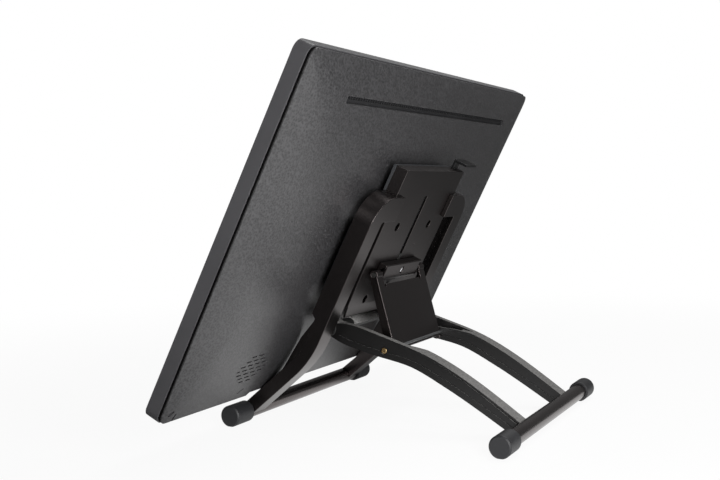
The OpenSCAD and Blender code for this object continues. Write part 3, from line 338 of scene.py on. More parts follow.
def paint_with_top_light(name, side_colour, lit_top_colour, low, high, below=None, **sockets):
    """Smooth paint, with a lighter grainy tone on what faces up as painted light from above, below a height
    on the display if one is given.
    """
    made, tree, bsdf = shell(name)
    side = use(tree, "tone", Colour=(*side_colour, 1), Second=(*paler(side_colour, 1.2), 1), Scale=18.0)
    top = use(tree, "tone", Colour=(*lit_top_colour, 1), Second=(*paler(lit_top_colour, 1.2), 1), Scale=30.0)
    normal = tree.nodes.new("ShaderNodeTexCoord").outputs["Normal"]
    # Up-facing faces take the lighter tone: painted light from above over a real grain.
    upward = spread(tree, add(tree, "ShaderNodeSeparateXYZ", Vector=normal).outputs["Z"], low, high)
    if below is not None:
        lower = spread(tree, panel_coords(tree)["Y"], below, below + 0.004, 1.0, 0.0)
        upward = maths(tree, "MULTIPLY", upward, lower)
    grains = use(tree, "grain", Scale=850.0)
    dark = mix_colour(tree, 1.0, top["Colour"], (0.55, 0.55, 0.55, 1), "MULTIPLY")
    lit = mix_colour(tree, grains["Shade"], dark, top["Colour"])
    tree.links.new(mix_colour(tree, upward, side["Colour"], lit), bsdf.inputs["Base Color"])
    gloss = use(tree, "gloss", Roughness=0.4, Amount=0.12, Scale=18.0)
    tree.links.new(spread(tree, upward, 0, 1, gloss["Roughness"], 0.75), bsdf.inputs["Roughness"])
    rough = maths(tree, "MULTIPLY", grains["Height"], spread(tree, upward, 0, 1, 0.12, 1.0))
    relief = add(tree, "ShaderNodeBump", Height=rough, Distance=0.0003, Strength=0.6)
    tree.links.new(relief.outputs["Normal"], bsdf.inputs["Normal"])
    set_sockets(bsdf, sockets)
    return made


def panel_coords(tree):
    """The display's own coordinates in metres: x, up the screen, out of the back."""
    point = add(tree, "ShaderNodeMapping", {"vector_type": "POINT"}, Vector=object_coords(tree),
                Location=(0, -RIM_Y * MM, -RIM_Z * MM))
    turned = add(tree, "ShaderNodeVectorRotate", {"rotation_type": "X_AXIS"}, Vector=point.outputs[0],
                 Angle=-TILT)
    parts = add(tree, "ShaderNodeSeparateXYZ", Vector=turned.outputs[0])
    return parts.outputs


# Mesh helpers

def dress(name, material):
    """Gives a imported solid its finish."""
    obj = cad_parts[name]
    if obj.material_slots:
        obj.material_slots[0].material = material
    else:
        obj.data.materials.append(material)
    return obj


def round_edges(obj, width, segments, angle):
    """A bevel in millimetres on the edges that are sharper than an angle."""
    bevel = obj.modifiers.new("edges", "BEVEL")
    bevel.width = width * MM
    bevel.segments = segments
    bevel.limit_method = "ANGLE"
    bevel.angle_limit = math.radians(angle)
    return bevel


def soften(name, width, material, segments=2, clamp=True):
    """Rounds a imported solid's sharp edges without touching its mesh."""
    obj = dress(name, material)
    weld = obj.modifiers.new("joined", "WELD")
    weld.merge_threshold = WELD_DISTANCE
    flat = obj.modifiers.new("flat faces", "DECIMATE")
    flat.decimate_type = "DISSOLVE"
    flat.angle_limit = math.radians(FLAT_ANGLE)
    flat.delimit = set()
    bevel = round_edges(obj, width, segments, SHARP_ANGLE)
    bevel.use_clamp_overlap = clamp
    bevel.miter_outer = "MITER_ARC"
    normals = obj.modifiers.new("normals", "WEIGHTED_NORMAL")
    normals.keep_sharp = False
    normals.weight = 60


def place(name, bm, body, material, replaced=(), matrix=None):
    """Makes a piece from a bmesh and sets it on its body."""
    if matrix is not None:
        bmesh.ops.transform(bm, matrix=matrix, verts=bm.verts)
    bmesh.ops.recalc_face_normals(bm, faces=bm.faces)
    mesh = bpy.data.meshes.new(name)
    bm.to_mesh(mesh)
    bm.free()
    for face in mesh.polygons:
        face.use_smooth = True
    obj = bpy.data.objects.new(name, mesh)
    bpy.context.scene.collection.objects.link(obj)
    mesh.materials.append(material)
    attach(obj, body)
    if replaced:
        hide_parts(*replaced)
    return obj


def bake_modifiers(obj):
    """Turns an object's modifiers into its mesh."""
    graph = bpy.context.evaluated_depsgraph_get()
    graph.update()
    made = bpy.data.meshes.new_from_object(obj.evaluated_get(graph))
    obj.modifiers.clear()
    obj.data = made


def cut_away(obj, cutter):
    """Takes a cutter's shape out of an object."""
    cut = obj.modifiers.new("openings", "BOOLEAN")
    cut.operation = "DIFFERENCE"
    cut.solver = "EXACT"
    cut.object = cutter


def prism(bm, outline, low, high):
    """A prism over an outline of (x, y) points, from z low to z high."""
    bottom = [bm.verts.new((x, y, low)) for x, y in outline]
    top = [bm.verts.new((x, y, high)) for x, y in outline]
    count = len(outline)
    bm.faces.new(bottom[::-1])
    bm.faces.new(top)
    for i in range(count):
        j = (i + 1) % count
        bm.faces.new((bottom[i], bottom[j], top[j], top[i]))


def rectangle(left, right, low, high):
    return [(left, low), (right, low), (right, high), (left, high)]


def capsule(middle, length, height, turn=0.0, steps=6):
    """Outline of a slot with round ends."""
    r = height / 2
    points = []
    for side in (1, -1):
        for i in range(steps + 1):
            a = math.radians(-90 + 180 * i / steps)
            points.append((side * ((length / 2 - r) + r * math.cos(a)), side * r * math.sin(a)))
    c, s = math.cos(math.radians(turn)), math.sin(math.radians(turn))
    return [(middle[0] + x * c - y * s, middle[1] + x * s + y * c) for x, y in points]


def lathe(bm, profile, steps):
    """A turned form: (radius, height) points swept round Z."""
    rings = []
    for r, z in profile:
        if r < 1e-9:
            rings.append([bm.verts.new((0, 0, z))])
        else:
            angles = [2 * math.pi * i / steps for i in range(steps)]
            rings.append([bm.verts.new((r * math.cos(a), r * math.sin(a), z)) for a in angles])
    for a, b in zip(rings, rings[1:]):
        for i in range(steps):
            j = (i + 1) % steps
            corners = [a[i % len(a)], a[j % len(a)], b[j % len(b)], b[i % len(b)]]
            unique = list(dict.fromkeys(corners))
            if len(unique) > 2:
                bm.faces.new(unique)


def rim_path(inset, gap, steps=8):
    """Path round the display's rim, open over a gap in the lower edge."""
    half, radius = DISPLAY_W / 2 - inset, CORNER_R - inset
    points = [(gap / 2, inset)]
    for turn in (-90, 0, 90, 180):
        x = (half - radius) * (1 if turn < 90 else -1)
        b = inset + radius if turn in (-90, 180) else DISPLAY_H - inset - radius
        points += arc_points((x, b), radius, turn, turn + 90, steps)
    return points + [(-gap / 2, inset)]


def strip(bm, outer, inner, low, high):
    """A closed strip between two open paths that have the same number of points."""
    loops = [[bm.verts.new((x, y, z)) for x, y in line] for line, z in (
        (outer, low), (outer, high), (inner, high), (inner, low))]
    for a, b in zip(loops, loops[1:] + loops[:1]):
        for i in range(len(outer) - 1):
            bm.faces.new((a[i], a[i + 1], b[i + 1], b[i]))
    for end in (0, -1):
        bm.faces.new([loop[end] for loop in loops])


def cross_screws(name, spots, radius, height, body, material, replaced):
    """Domed screw heads with a cross recess, one at each matrix in spots."""
    heads, cuts = bmesh.new(), bmesh.new()
    for spot in spots:
        one = bmesh.new()
        lathe(one, [(0, 0), (radius, 0), (radius, height * 0.45), (radius * 0.95, height * 0.68),
                    (radius * 0.8, height * 0.86), (radius * 0.5, height * 0.97), (0, height)], 48)
        long, wide = radius * 0.68, radius * 0.16
        cut = bmesh.new()
        cross = [
            (-long, -wide), (-wide, -wide), (-wide, -long), (wide, -long), (wide, -wide), (long, -wide),
            (long, wide), (wide, wide), (wide, long), (-wide, long), (-wide, wide), (-long, wide),
        ]
        prism(cut, cross, low=height * 0.4, high=height * 1.4)
        for source, target in ((one, heads), (cut, cuts)):
            bmesh.ops.transform(source, matrix=spot, verts=source.verts)
            mesh = bpy.data.meshes.new("part")
            source.to_mesh(mesh)
            source.free()
            target.from_mesh(mesh)
            bpy.data.meshes.remove(mesh)
    made = place(name, heads, body, material, replaced)
    cutter = place(name + "_cuts", cuts, body, material)
    cut_away(made, cutter)
    round_edges(made, 0.12, segments=2, angle=45)
    bake_modifiers(made)
    bpy.data.objects.remove(cutter)


def coil(bm, middle, length, radius, wire, turns, steps=24, sides=8):
    """A round wire wound along the panel's Y."""
    rings = []
    for i in range(turns * steps + 1):
        turn = 2 * math.pi * i / steps
        out = Vector((math.cos(turn), 0, math.sin(turn)))
        along = wire - length / 2 + (length - 2 * wire) * i / (turns * steps)
        core = middle + out * radius + Vector((0, along, 0))
        ring = []
        for k in range(sides):
            angle = 2 * math.pi * k / sides
            round_wire = out * wire * math.cos(angle) + Vector((0, wire * math.sin(angle), 0))
            ring.append(bm.verts.new(core + round_wire))
        rings.append(ring)
    for one, two in zip(rings, rings[1:]):
        for k in range(sides):
            bm.faces.new((one[k], one[k - 1], two[k - 1], two[k]))
    bm.faces.new(rings[0])
    bm.faces.new(rings[-1][::-1])


def arc_points(middle, radius, start, end, steps):
    """Points of an arc between two angles in degrees."""
    angles = [math.radians(start + (end - start) * i / steps) for i in range(steps + 1)]
    return [(middle[0] + radius * math.cos(a), middle[1] + radius * math.sin(a)) for a in angles]


# What a user would change

class DisplayLook(bpy.types.PropertyGroup):
    cover_colour: FloatVectorProperty(
        name="Cover colour", description="Main tone of the rear cover", subtype="COLOR", min=0, max=1,
        default=(0.049, 0.0481, 0.0501))
    cover_second: FloatVectorProperty(
        name="Cover second tone", description="Tone that the cover drifts to", subtype="COLOR", min=0, max=1,
        default=(0.054, 0.0530, 0.0552))
    band_colour: FloatVectorProperty(
        name="Band colour", description="Tone of the side band", subtype="COLOR", min=0, max=1,
        default=(0.064, 0.0628, 0.0668))
    cover_steps: IntProperty(
        name="Cover steps", description="Rings in the cover's dome", default=26, min=8, max=60)
    band_edge: FloatProperty(
        name="Band edge", description="Rounding of the band's edges, in millimetres", default=0.45,
        min=0.1, max=1.5)


class StandLook(bpy.types.PropertyGroup):
    black: FloatVectorProperty(
        name="Stand black", description="Paint of the legs and bars", subtype="COLOR", min=0, max=1,
        default=(0.078, 0.069, 0.068))
    tray_colour: FloatVectorProperty(
        name="Tray colour", description="Paint of the slide tray", subtype="COLOR", min=0, max=1,
        default=(0.072, 0.0645, 0.0635))
    # Painted light: a lighter grey on the arms' up-facing tops for light from above, over their real grain.
    arm_lit_top: FloatVectorProperty(
        name="Arm top colour", description="Textured top of the arms", subtype="COLOR", min=0, max=1,
        default=(0.155, 0.151, 0.147))
    rubber: FloatVectorProperty(
        name="Cap rubber", description="Rubber of the end caps", subtype="COLOR", min=0, max=1,
        default=(0.015, 0.0154, 0.0170))
    edge: FloatProperty(
        name="Leg edge", description="Rounding of the legs' edges, in millimetres", default=0.5,
        min=0.1, max=1.2)


class StageLook(bpy.types.PropertyGroup):
    lens: FloatProperty(name="Lens", description="Focal length", subtype="DISTANCE_CAMERA", default=53.285)
    key_power: FloatProperty(
        name="Key light", description="Power of the soft box overhead", unit="POWER", default=5.5)
    fill_power: FloatProperty(
        name="Fill light", description="Power of the soft box beside", unit="POWER", default=4.0)
    back_power: FloatProperty(
        name="Back light", description="Power of the soft box behind", unit="POWER", default=3.5)
    room: FloatProperty(
        name="Room light", description="Strength of the even light", default=0.18, min=0, max=2)


# Display

def cover_height(t):
    """Height of the cover's dome at a share of its run."""
    return COVER_LIP + (BULGE - COVER_LIP) * (1 - (1 - t) ** COVER_POWER)


def cover_ring(t, c, corner_steps=10, across=36, upward=24):
    """One ring of the cover, evenly stepped along its sides."""
    side = COVER_INSET + t * COVER_RUN[0]
    low = COVER_INSET + t * COVER_RUN[1]
    high = DISPLAY_H - COVER_INSET - t * COVER_RUN[2]
    half = DISPLAY_W / 2 - side
    r = min(CORNER_R - COVER_INSET + t * CORNER_GROW, (high - low) / 2 - 1)
    corners = []
    for k in range(4):
        x = (half - r) * (1 if k in (0, 3) else -1)
        b = high - r if k < 2 else low + r
        corners.append(arc_points((x, b), r, 90 * k, 90 * k + 90, corner_steps))
    ring = []
    for k in range(4):
        ring += corners[k]
        a, b = corners[k][-1], corners[(k + 1) % 4][0]
        count = across if k in (0, 2) else upward
        dx, db = b[0] - a[0], b[1] - a[1]
        ring += [(a[0] + dx * i / count, a[1] + db * i / count) for i in range(1, count)]
    return [(x, b, c) for x, b in ring]


def speaker_slots(side):
    """Outlines of one speaker's slots."""
    found = []
    for row in range(-3, 4):
        last = 4 - abs(row)
        for j in range(last + 1):
            x = (j - last / 2) * SLOT_PITCH
            length = SLOT_L
            if row == 0 and j in (0, last):
                length = SLOT_END_L
                x -= math.copysign((SLOT_L - SLOT_END_L) / 2, x)
            found.append(capsule((side * (SPEAKER_X + x), SPEAKER_B + row * SLOT_ROW_PITCH), length, SLOT_H))
    return found


def cover_skin(steps):
    """The cover's domed outer skin, closed over its flat middle."""
    bm = bmesh.new()
    shares = [(i / steps) ** RING_CROWDING for i in range(steps + 1)]
    rings = [cover_ring(0, 0)] + [cover_ring(t, cover_height(t)) for t in shares]
    loops = [[bm.verts.new(p) for p in ring] for ring in rings]
    middle = (COVER_INSET + COVER_RUN[1] + DISPLAY_H - COVER_INSET - COVER_RUN[2]) / 2
    for share in FLAT_RINGS:
        inner = [(x * share, middle + (b - middle) * share, c) for x, b, c in rings[-1]]
        loops.append([bm.verts.new(p) for p in inner])
    count = len(loops[0])
    for a, b in zip(loops, loops[1:]):
        for i in range(count):
            j = (i + 1) % count
            bm.faces.new((a[i], a[j], b[j], b[i]))
    bm.faces.new(loops[-1])
    return bm


def cover_openings():
    """Cutters for the speakers, the slots, the vent, the notch and the lower cut-out."""
    cuts = bmesh.new()
    for side in (1, -1):
        for outline in speaker_slots(side):
            prism(cuts, outline, low=1, high=CUT_TOP)
        spot = (side * SLANT_SLOT_X, SLANT_SLOT_B)
        slot = capsule(spot, SLANT_SLOT_L, SLOT_H, side * SLANT_SLOT_TURN)
        prism(cuts, slot, low=0.5, high=CUT_TOP)
    vent_b = DISPLAY_H - VENT_DOWN
    vent = rectangle(-VENT_HALF, VENT_HALF, vent_b - VENT_H / 2, vent_b + VENT_H / 2)
    prism(cuts, vent, low=0.5, high=CUT_TOP)
    spot = (DISPLAY_W / 2 - LOCK_SLOT_IN, LOCK_SLOT_B)
    slot = capsule(spot, LOCK_SLOT_L, LOCK_SLOT_H, LOCK_SLOT_TURN)
    prism(cuts, slot, low=0.2, high=CUT_TOP)
    notch_x = DISPLAY_W / 2 - NOTCH_IN
    notch = rectangle(notch_x - NOTCH_HALF, notch_x + NOTCH_HALF, -2, NOTCH_TOP)
    prism(cuts, notch, low=0.9, high=CUT_TOP)
    wide, narrow = CUTOUT_HALF + 1, CUTOUT_HALF - CUTOUT_SLANT
    cutout = [(-wide, -1), (wide, -1), (narrow, CUTOUT_H), (-narrow, CUTOUT_H)]
    prism(cuts, cutout, low=-3, high=CUT_TOP)
    return cuts


class PEN_OT_rear_cover(bpy.types.Operator):
    """Domed rear cover with its vent, speaker slots, lock slot and notch"""
    bl_idname = "pen.rear_cover"
    bl_label = "Rear cover"

    def execute(self, context):
        look = context.scene.pen_display
        material = finish("cover fine grain", look.cover_colour, look.cover_second, 0.38, grain=760,
                          depth=0.0002, bump=0.3, drift=0.06, shade=0.75, scale=9, Specular_IOR_Level=0.7)
        bm = cover_skin(look.cover_steps)
        cover = place("cover_shell", bm, "display", material, ("rear_cover",), matrix=PANEL)
        wall = cover.modifiers.new("wall", "SOLIDIFY")
        wall.thickness = WALL * MM
        wall.offset = -1
        cuts = cover_openings()
        cutter = place("cover_cuts", cuts, "display", material, matrix=PANEL)
        cut_away(cover, cutter)
        round_edges(cover, 0.22, segments=2, angle=40)
        normals = cover.modifiers.new("normals", "WEIGHTED_NORMAL")
        normals.keep_sharp = False
        bake_modifiers(cover)
        bpy.data.objects.remove(cutter)
        dress("vent_grille", finish("vent black", (0.016, 0.016, 0.017), (0.020, 0.020, 0.021), 0.6,
                                    Specular_IOR_Level=0.15))
        for name in ("right_speaker", "left_speaker"):
            dress(name, black_moulding())
        dress("lock_slot_plate", plain_steel())
        return {"FINISHED"}


class PEN_OT_bezel(bpy.types.Operator):
    """Side band and front bezel"""
    bl_idname = "pen.bezel"
    bl_label = "Side band"

    def execute(self, context):
        look = context.scene.pen_display
        c = look.band_colour
        band = finish("band satin", c, paler(c, 1.15), 0.38, grain=1600, depth=0.00003, bump=0.25, drift=0.08)
        soften("front_bezel", look.band_edge, band, segments=3)
        bm = bmesh.new()
        # Recessed ring in the groove between band and cover; its near-black colour is painted shadow of the
        # gap.
        strip(bm, rim_path(SEAM_OUTER, SEAM_GAP), rim_path(SEAM_INNER, SEAM_GAP), SEAM_LOW, SEAM_HIGH)
        seam = finish("seam painted shadow", (0.0015, 0.0015, 0.0015), (0.002, 0.002, 0.002), 0.8,
                      Specular_IOR_Level=0.1)
        place("cover_seam", bm, "display", seam, matrix=PANEL)
        return {"FINISHED"}


class PEN_OT_screen(bpy.types.Operator):
    """Cover glass with its printed border, and the layers behind it"""
    bl_idname = "pen.screen"
    bl_label = "Screen"

    def execute(self, context):
        made, tree, bsdf = shell("screen glass")
        place_on = panel_coords(tree)
        beside = maths(tree, "SUBTRACT", maths(tree, "ABSOLUTE", place_on["X"]), PICTURE_HALF_W * MM)
        from_middle = maths(tree, "SUBTRACT", place_on["Y"], DISPLAY_H / 2 * MM)
        above = maths(tree, "SUBTRACT", maths(tree, "ABSOLUTE", from_middle), PICTURE_HALF_H * MM)
        border = spread(tree, maths(tree, "MAXIMUM", beside, above), -0.0002, 0.0002)
        grains = use(tree, "grain", Scale=2600.0)
        tint = mix_colour(tree, grains["Shade"], (0.0085, 0.009, 0.0105, 1), (0.0105, 0.011, 0.0125, 1))
        tree.links.new(mix_colour(tree, border, tint, (0.004, 0.004, 0.0045, 1)), bsdf.inputs["Base Color"])
        gloss = use(tree, "gloss", Roughness=0.2, Amount=0.06, Scale=10.0)
        tree.links.new(gloss["Roughness"], bsdf.inputs["Roughness"])
        relief = add(tree, "ShaderNodeBump", Height=grains["Height"], Distance=0.00001, Strength=0.15)
        tree.links.new(relief.outputs["Normal"], bsdf.inputs["Normal"])
        bsdf.inputs["IOR"].default_value = 1.52
        soften("cover_glass", 0.25, made)
        dress("lcd_panel", finish("panel glass", (0.006, 0.006, 0.007), (0.010, 0.010, 0.012), 0.25))
        dress("backlight_tray", finish("light guide", (0.72, 0.73, 0.75), (0.78, 0.79, 0.80), 0.45))
        dress("chassis_plate", metal("chassis sheet", (0.55, 0.56, 0.58), (0.66, 0.67, 0.69), 0.42))
        board = finish("board mask", (0.012, 0.085, 0.035), (0.02, 0.12, 0.05), 0.35, grain=700)
        for name in ("pen_sensor_sheet", "main_board", "power_board", "port_board", "key_board"):
            dress(name, board)
        dress("board_screws", plain_steel())
        return {"FINISHED"}


class PEN_OT_sockets(bpy.types.Operator):
    """Sockets in the lower cut-out"""
    bl_idname = "pen.sockets"
    bl_label = "Sockets"

    def execute(self, context):
        stamped = metal("stamped shell", (0.55, 0.56, 0.57), (0.68, 0.69, 0.70), 0.3)
        for name in ("video_socket", "usb_socket"):
            soften(name, 0.15, stamped)
        soften("power_socket", 0.25, black_moulding())
        return {"FINISHED"}


class PEN_OT_keys(bpy.types.Operator):
    """Keys on the bezel"""
    bl_idname = "pen.keys"
    bl_label = "Keys"

    def execute(self, context):
        satin = finish("key satin", (0.055, 0.055, 0.058), (0.070, 0.070, 0.073), 0.36)
        for name in ("power_key", "menu_key", "up_key", "down_key", "select_key"):
            soften(name, 0.4, satin, segments=3)
        return {"FINISHED"}


# Stand

class PEN_OT_tray(bpy.types.Operator):
    """Mounting pad, base plate, slide tray and what is in it"""
    bl_idname = "pen.tray"
    bl_label = "Slide tray"

    def execute(self, context):
        look = context.scene.pen_stand
        c = look.tray_colour
        paint = finish("tray satin", c, paler(c, 1.12), 0.36, grain=1500, depth=0.00003, bump=0.3, drift=0.1,
                       Metallic=1.0)
        soften("slide_tray", 0.4, paint, segments=3, clamp=False)
        # Painted light: the base plate's faces that don't turn down, below 90 mm up the display at the
        # knuckle, get a light grey for light from above.
        plate = paint_with_top_light("plate paint with painted knuckle light", (0.040, 0.041, 0.044), (0.34, 0.333, 0.326), -0.3, -0.1, 0.09,
                         Specular_IOR_Level=0.15)
        soften("base_plate", 0.5, plate)
        dress("mount_pad", black_moulding())
        dark = metal("dark steel", (0.16, 0.16, 0.17), (0.24, 0.24, 0.25), 0.38)
        for name in ("mount_screws", "leg_screws"):
            dress(name, dark)
        dress("guide_rods", plain_steel())
        return {"FINISHED"}


class PEN_OT_legs(bpy.types.Operator):
    """Bent legs"""
    bl_idname = "pen.legs"
    bl_label = "Legs"

    def execute(self, context):
        look = context.scene.pen_stand
        c = look.black
        paint = finish("leg satin black", c, paler(c, 1.12), 0.3, grain=1500, depth=0.00003, bump=0.3,
                       drift=0.08, Metallic=1.0)
        for name in ("right_leg", "left_leg"):
            soften(name, look.edge, paint, segments=3, clamp=False)
        return {"FINISHED"}


class PEN_OT_feet(bpy.types.Operator):
    """Foot bars and their rubber caps"""
    bl_idname = "pen.feet"
    bl_label = "Foot bars"

    def execute(self, context):
        look = context.scene.pen_stand
        c = look.black
        paint = finish("bar satin black", paler(c, 1.5), paler(c, 1.7), 0.26, grain=1500, depth=0.00002,
                       Metallic=1.0)
        for name in ("front_foot_bar", "rear_foot_bar"):
            soften(name, 0.3, paint)
        c = look.rubber
        rubber = finish("cap rubber", c, paler(c, 1.25), 0.52, grain=1100, depth=0.00006, bump=0.35,
                        drift=0.15)
        for name in ("front_right_cap", "front_left_cap", "rear_right_cap", "rear_left_cap"):
            soften(name, 0.8, rubber, segments=4)
        return {"FINISHED"}


class PEN_OT_arms(bpy.types.Operator):
    """Arched arms, with light from above painted on their textured tops"""
    bl_idname = "pen.arms"
    bl_label = "Arms"

    def execute(self, context):
        look = context.scene.pen_stand
        # Painted light: the arms' up-facing tops get a lighter grey for light from above; their grain is
        # real.
        made = paint_with_top_light("arm paint with painted top light", (0.0055, 0.0051, 0.0051), look.arm_lit_top, 0.45, 0.6)
        for name in ("right_arm", "left_arm"):
            soften(name, 0.45, made)
        soften("prop_rod", 0.4, plain_steel())
        soften("pivot_shaft", 0.4, black_moulding())
        dress("pivot_spacers", black_moulding())
        x, y, z = PROP_SCREW
        spots = [
            Matrix.Translation((side * x * MM, y * MM, z * MM)) @ Matrix.Rotation(side * math.pi / 2, 4, "Y")
            @ Matrix.Rotation(0.5, 4, "Z") @ Matrix.Scale(MM, 4)
            for side in (1, -1)
        ]
        brass = metal("dull brass", (0.30, 0.21, 0.10), (0.40, 0.29, 0.15), 0.38)
        cross_screws("brass_screws", spots, PROP_SCREW_R, PROP_SCREW_H, "arms", brass,
                     ("prop_screws",))
        return {"FINISHED"}


class PEN_OT_prop(bpy.types.Operator):
    """Prop and carriage"""
    bl_idname = "pen.prop"
    bl_label = "Prop and carriage"

    def execute(self, context):
        paint = finish("prop satin", (0.070, 0.0605, 0.0600), (0.079, 0.069, 0.068), 0.34, grain=1500,
                       depth=0.00003, bump=0.3, Metallic=1.0)
        soften("prop_plate", 0.5, paint, segments=3, clamp=False)
        soften("carriage_bracket", 0.4, paint, segments=3, clamp=False)
        soften("prop_pins", 0.3, black_moulding())
        bright = metal("bright steel", (0.82, 0.83, 0.84), (0.9, 0.9, 0.91), 0.3)
        spots = [PANEL @ Matrix.Translation(BRACKET_SCREW)]
        cross_screws("bracket_screw", spots, BRACKET_SCREW_R, BRACKET_SCREW_H, "carriage", bright,
                     ("carriage_screw",))
        dress("slide_block", black_moulding())
        return {"FINISHED"}


class PEN_OT_lever(bpy.types.Operator):
    """Release lever, lock bar and return spring"""
    bl_idname = "pen.lever"
    bl_label = "Release lever"

    def execute(self, context):
        paint = finish("lever satin", (0.007, 0.007, 0.0073), (0.009, 0.009, 0.0094), 0.3,
                       Specular_IOR_Level=0.25)
        soften("release_lever", 0.5, paint, segments=3)
        dress("lock_bar", plain_steel())
        low, high = (Vector(corner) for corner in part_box("lever_spring"))
        middle = PANEL.inverted() @ ((low + high) / 2)
        length, travel = SPRING_L, LEVER_TRAVEL
        wire = bmesh.new()
        coil(wire, middle, length, SPRING_R, SPRING_WIRE, SPRING_TURNS)
        spring = place("lever_coil", wire, "display", plain_steel(), ("lever_spring",), matrix=PANEL)
        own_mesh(spring)
        return {"FINISHED"}


# Stage

def seen_ways(tree):
    """Rays seen straight or through glass, and rays seen in reflections."""
    path = tree.nodes.new("ShaderNodeLightPath").outputs
    straight = maths(tree, "ADD", path["Is Camera Ray"], path["Is Transmission Ray"], clamp=True)
    return straight, path["Is Glossy Ray"]


def floor_pool(tree):
    """What reflections see on the floor: a painted pool of light by the stand with a painted shadow under the
    stand, and a painted band of light further off.
    """
    spot = add(tree, "ShaderNodeSeparateXYZ", Vector=object_coords(tree)).outputs
    beside = maths(tree, "SUBTRACT", spot["X"], maths(tree, "MULTIPLY", spot["Y"], 1.2))
    near = maths(tree, "MULTIPLY", spread(tree, spot["X"], -0.5, -0.1, 0.12, 1.0),
                 spread(tree, beside, 0.1, 0.5, 1.0, 0.03))
    # Painted shadow of the stand on the floor, as reflections see it.
    shaded = spread(tree, distance_from(tree, (-0.17, -0.1, 0)), 0.05, 0.12, 0.2, 1.0)
    far = maths(tree, "MULTIPLY", spread(tree, spot["X"], 0.9, 1.7),
                spread(tree, spot["X"], 1.8, 2.7, 1.0, 0.0))
    return maths(tree, "ADD", maths(tree, "MULTIPLY", near, shaded), far, clamp=True)


def floor_finish():
    """Pale floor that takes shadows near the stand and turns white further off; in reflections it glows with
    a painted pool of light and shade instead.
    """
    made = bpy.data.materials.new("pale floor")
    made.use_nodes = True
    tree = made.node_tree
    tree.nodes.clear()
    straight, mirrored = seen_ways(tree)
    cleared = spread(tree, distance_from(tree, (0.05, 0.28, 0)), 0.5, 1.3, 0.92, 1.0)
    white = maths(tree, "MAXIMUM", mirrored, maths(tree, "MULTIPLY", straight, cleared))
    plain = add(tree, "ShaderNodeBsdfDiffuse", Color=(0.86, 0.86, 0.86, 1))
    glow = add(tree, "ShaderNodeEmission", Color=(1, 1, 1, 1),
               Strength=spread(tree, mirrored, 0, 1, 1.0, floor_pool(tree)))
    mixed = add(tree, "ShaderNodeMixShader", _0=white)
    tree.links.new(plain.outputs[0], mixed.inputs[1])
    tree.links.new(glow.outputs[0], mixed.inputs[2])
    out = tree.nodes.new("ShaderNodeOutputMaterial")
    tree.links.new(mixed.outputs[0], out.inputs["Surface"])
    return made


def lay_floor(scene):
    """A wide floor under the stand."""
    bm = bmesh.new()
    bmesh.ops.create_grid(bm, x_segments=1, y_segments=1, size=6)
    mesh = bpy.data.meshes.new("floor")
    bm.to_mesh(mesh)
    bm.free()
    floor = bpy.data.objects.new("floor", mesh)
    scene.collection.objects.link(floor)
    mesh.materials.append(floor_finish())


def set_room(scene, room):
    """White where it is seen straight or through glass, dim in reflections, even light elsewhere."""
    world = bpy.data.worlds.new("white room")
    scene.world = world
    world.use_nodes = True
    tree = world.node_tree
    tree.nodes.clear()
    straight, mirrored = seen_ways(tree)
    strength = maths(tree, "MAXIMUM", straight, spread(tree, mirrored, 0, 1, room, 0.15))
    back = add(tree, "ShaderNodeBackground", Color=(1, 1, 1, 1), Strength=strength)
    out = tree.nodes.new("ShaderNodeOutputWorld")
    tree.links.new(back.outputs[0], out.inputs["Surface"])


def set_lamp(scene, name, power, size, spot, aim):
    """A soft box at a spot, turned to what it lights."""
    lamp = bpy.data.lights.new(name, "AREA")
    lamp.energy = power
    lamp.size = size
    obj = bpy.data.objects.new(name, lamp)
    obj.location = spot
    obj.rotation_euler = (Vector(aim) - Vector(spot)).to_track_quat("-Z", "Y").to_euler()
    scene.collection.objects.link(obj)


def set_camera(scene, lens):
    """The photo's view."""
    data = bpy.data.cameras.new("photo view")
    data.sensor_width = 36
    data.lens = lens
    data.clip_start = 0.01
    data.clip_end = 50
    camera = bpy.data.objects.new("photo view", data)
    scene.collection.objects.link(camera)
    yaw, pitch, roll = CAMERA_YAW, CAMERA_PITCH, CAMERA_ROLL
    ahead = Vector((-math.sin(yaw) * math.cos(pitch), -math.cos(yaw) * math.cos(pitch), -math.sin(pitch)))
    across = ahead.cross(Vector((0, 0, 1))).normalized()
    upward = across.cross(ahead)
    right = across * math.cos(roll) + upward * math.sin(roll)
    up = upward * math.cos(roll) - across * math.sin(roll)
    turned = Matrix((right, up, -ahead)).transposed().to_4x4()
    camera.matrix_world = Matrix.Translation(CAMERA_PLACE) @ turned
    scene.camera = camera


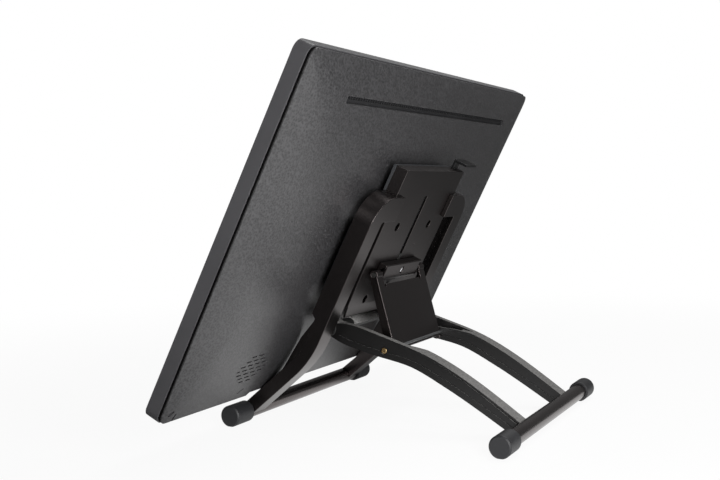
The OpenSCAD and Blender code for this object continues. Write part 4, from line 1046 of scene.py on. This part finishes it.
class PEN_OT_stage(bpy.types.Operator):
    """Pale floor, soft light, white room and the camera"""
    bl_idname = "pen.stage"
    bl_label = "Stage"

    def execute(self, context):
        scene = context.scene
        look = scene.pen_stage
        lay_floor(scene)
        set_room(scene, look.room)
        set_lamp(scene, "soft box overhead", look.key_power, 0.7, (-0.45, 0.2, 1.0), (0, 0.05, 0))
        set_lamp(scene, "soft box beside", look.fill_power, 0.3, (0.55, 0.46, 0.17), (0.1, 0, 0.15))
        set_lamp(scene, "soft box behind", look.back_power, 0.5, (0.4, 1.0, 0.8), (0, 0, 0.15))
        set_camera(scene, look.lens)
        scene.view_settings.view_transform = "Standard"
        return {"FINISHED"}


OPERATORS = (
    PEN_OT_rear_cover, PEN_OT_bezel, PEN_OT_screen, PEN_OT_sockets, PEN_OT_keys, PEN_OT_tray, PEN_OT_legs,
    PEN_OT_feet, PEN_OT_arms, PEN_OT_prop, PEN_OT_lever, PEN_OT_stage,
)


class PEN_PT_sidebar(bpy.types.Panel):
    """Pieces of the pen display, with the sizes and colours that they take"""
    bl_idname = "PEN_PT_sidebar"
    bl_label = "Pen display"
    bl_space_type = "VIEW_3D"
    bl_region_type = "UI"
    bl_category = "Pen display"

    def draw(self, context):
        layout = self.layout
        for group in (context.scene.pen_display, context.scene.pen_stand, context.scene.pen_stage):
            box = layout.box()
            for name in group.__annotations__:
                box.prop(group, name)
        for operator in OPERATORS:
            layout.operator(operator.bl_idname)


CLASSES = (DisplayLook, StandLook, StageLook, *OPERATORS, PEN_PT_sidebar)


def register():
    for cls in CLASSES:
        bpy.utils.register_class(cls)
    bpy.types.Scene.pen_display = PointerProperty(type=DisplayLook)
    bpy.types.Scene.pen_stand = PointerProperty(type=StandLook)
    bpy.types.Scene.pen_stage = PointerProperty(type=StageLook)


def unregister():
    del bpy.types.Scene.pen_stage
    del bpy.types.Scene.pen_stand
    del bpy.types.Scene.pen_display
    for cls in reversed(CLASSES):
        bpy.utils.unregister_class(cls)


def main():
    register()
    for operator in OPERATORS:
        group, name = operator.bl_idname.split(".")
        getattr(getattr(bpy.ops, group), name)()


if __name__ == "__main__":
    main()
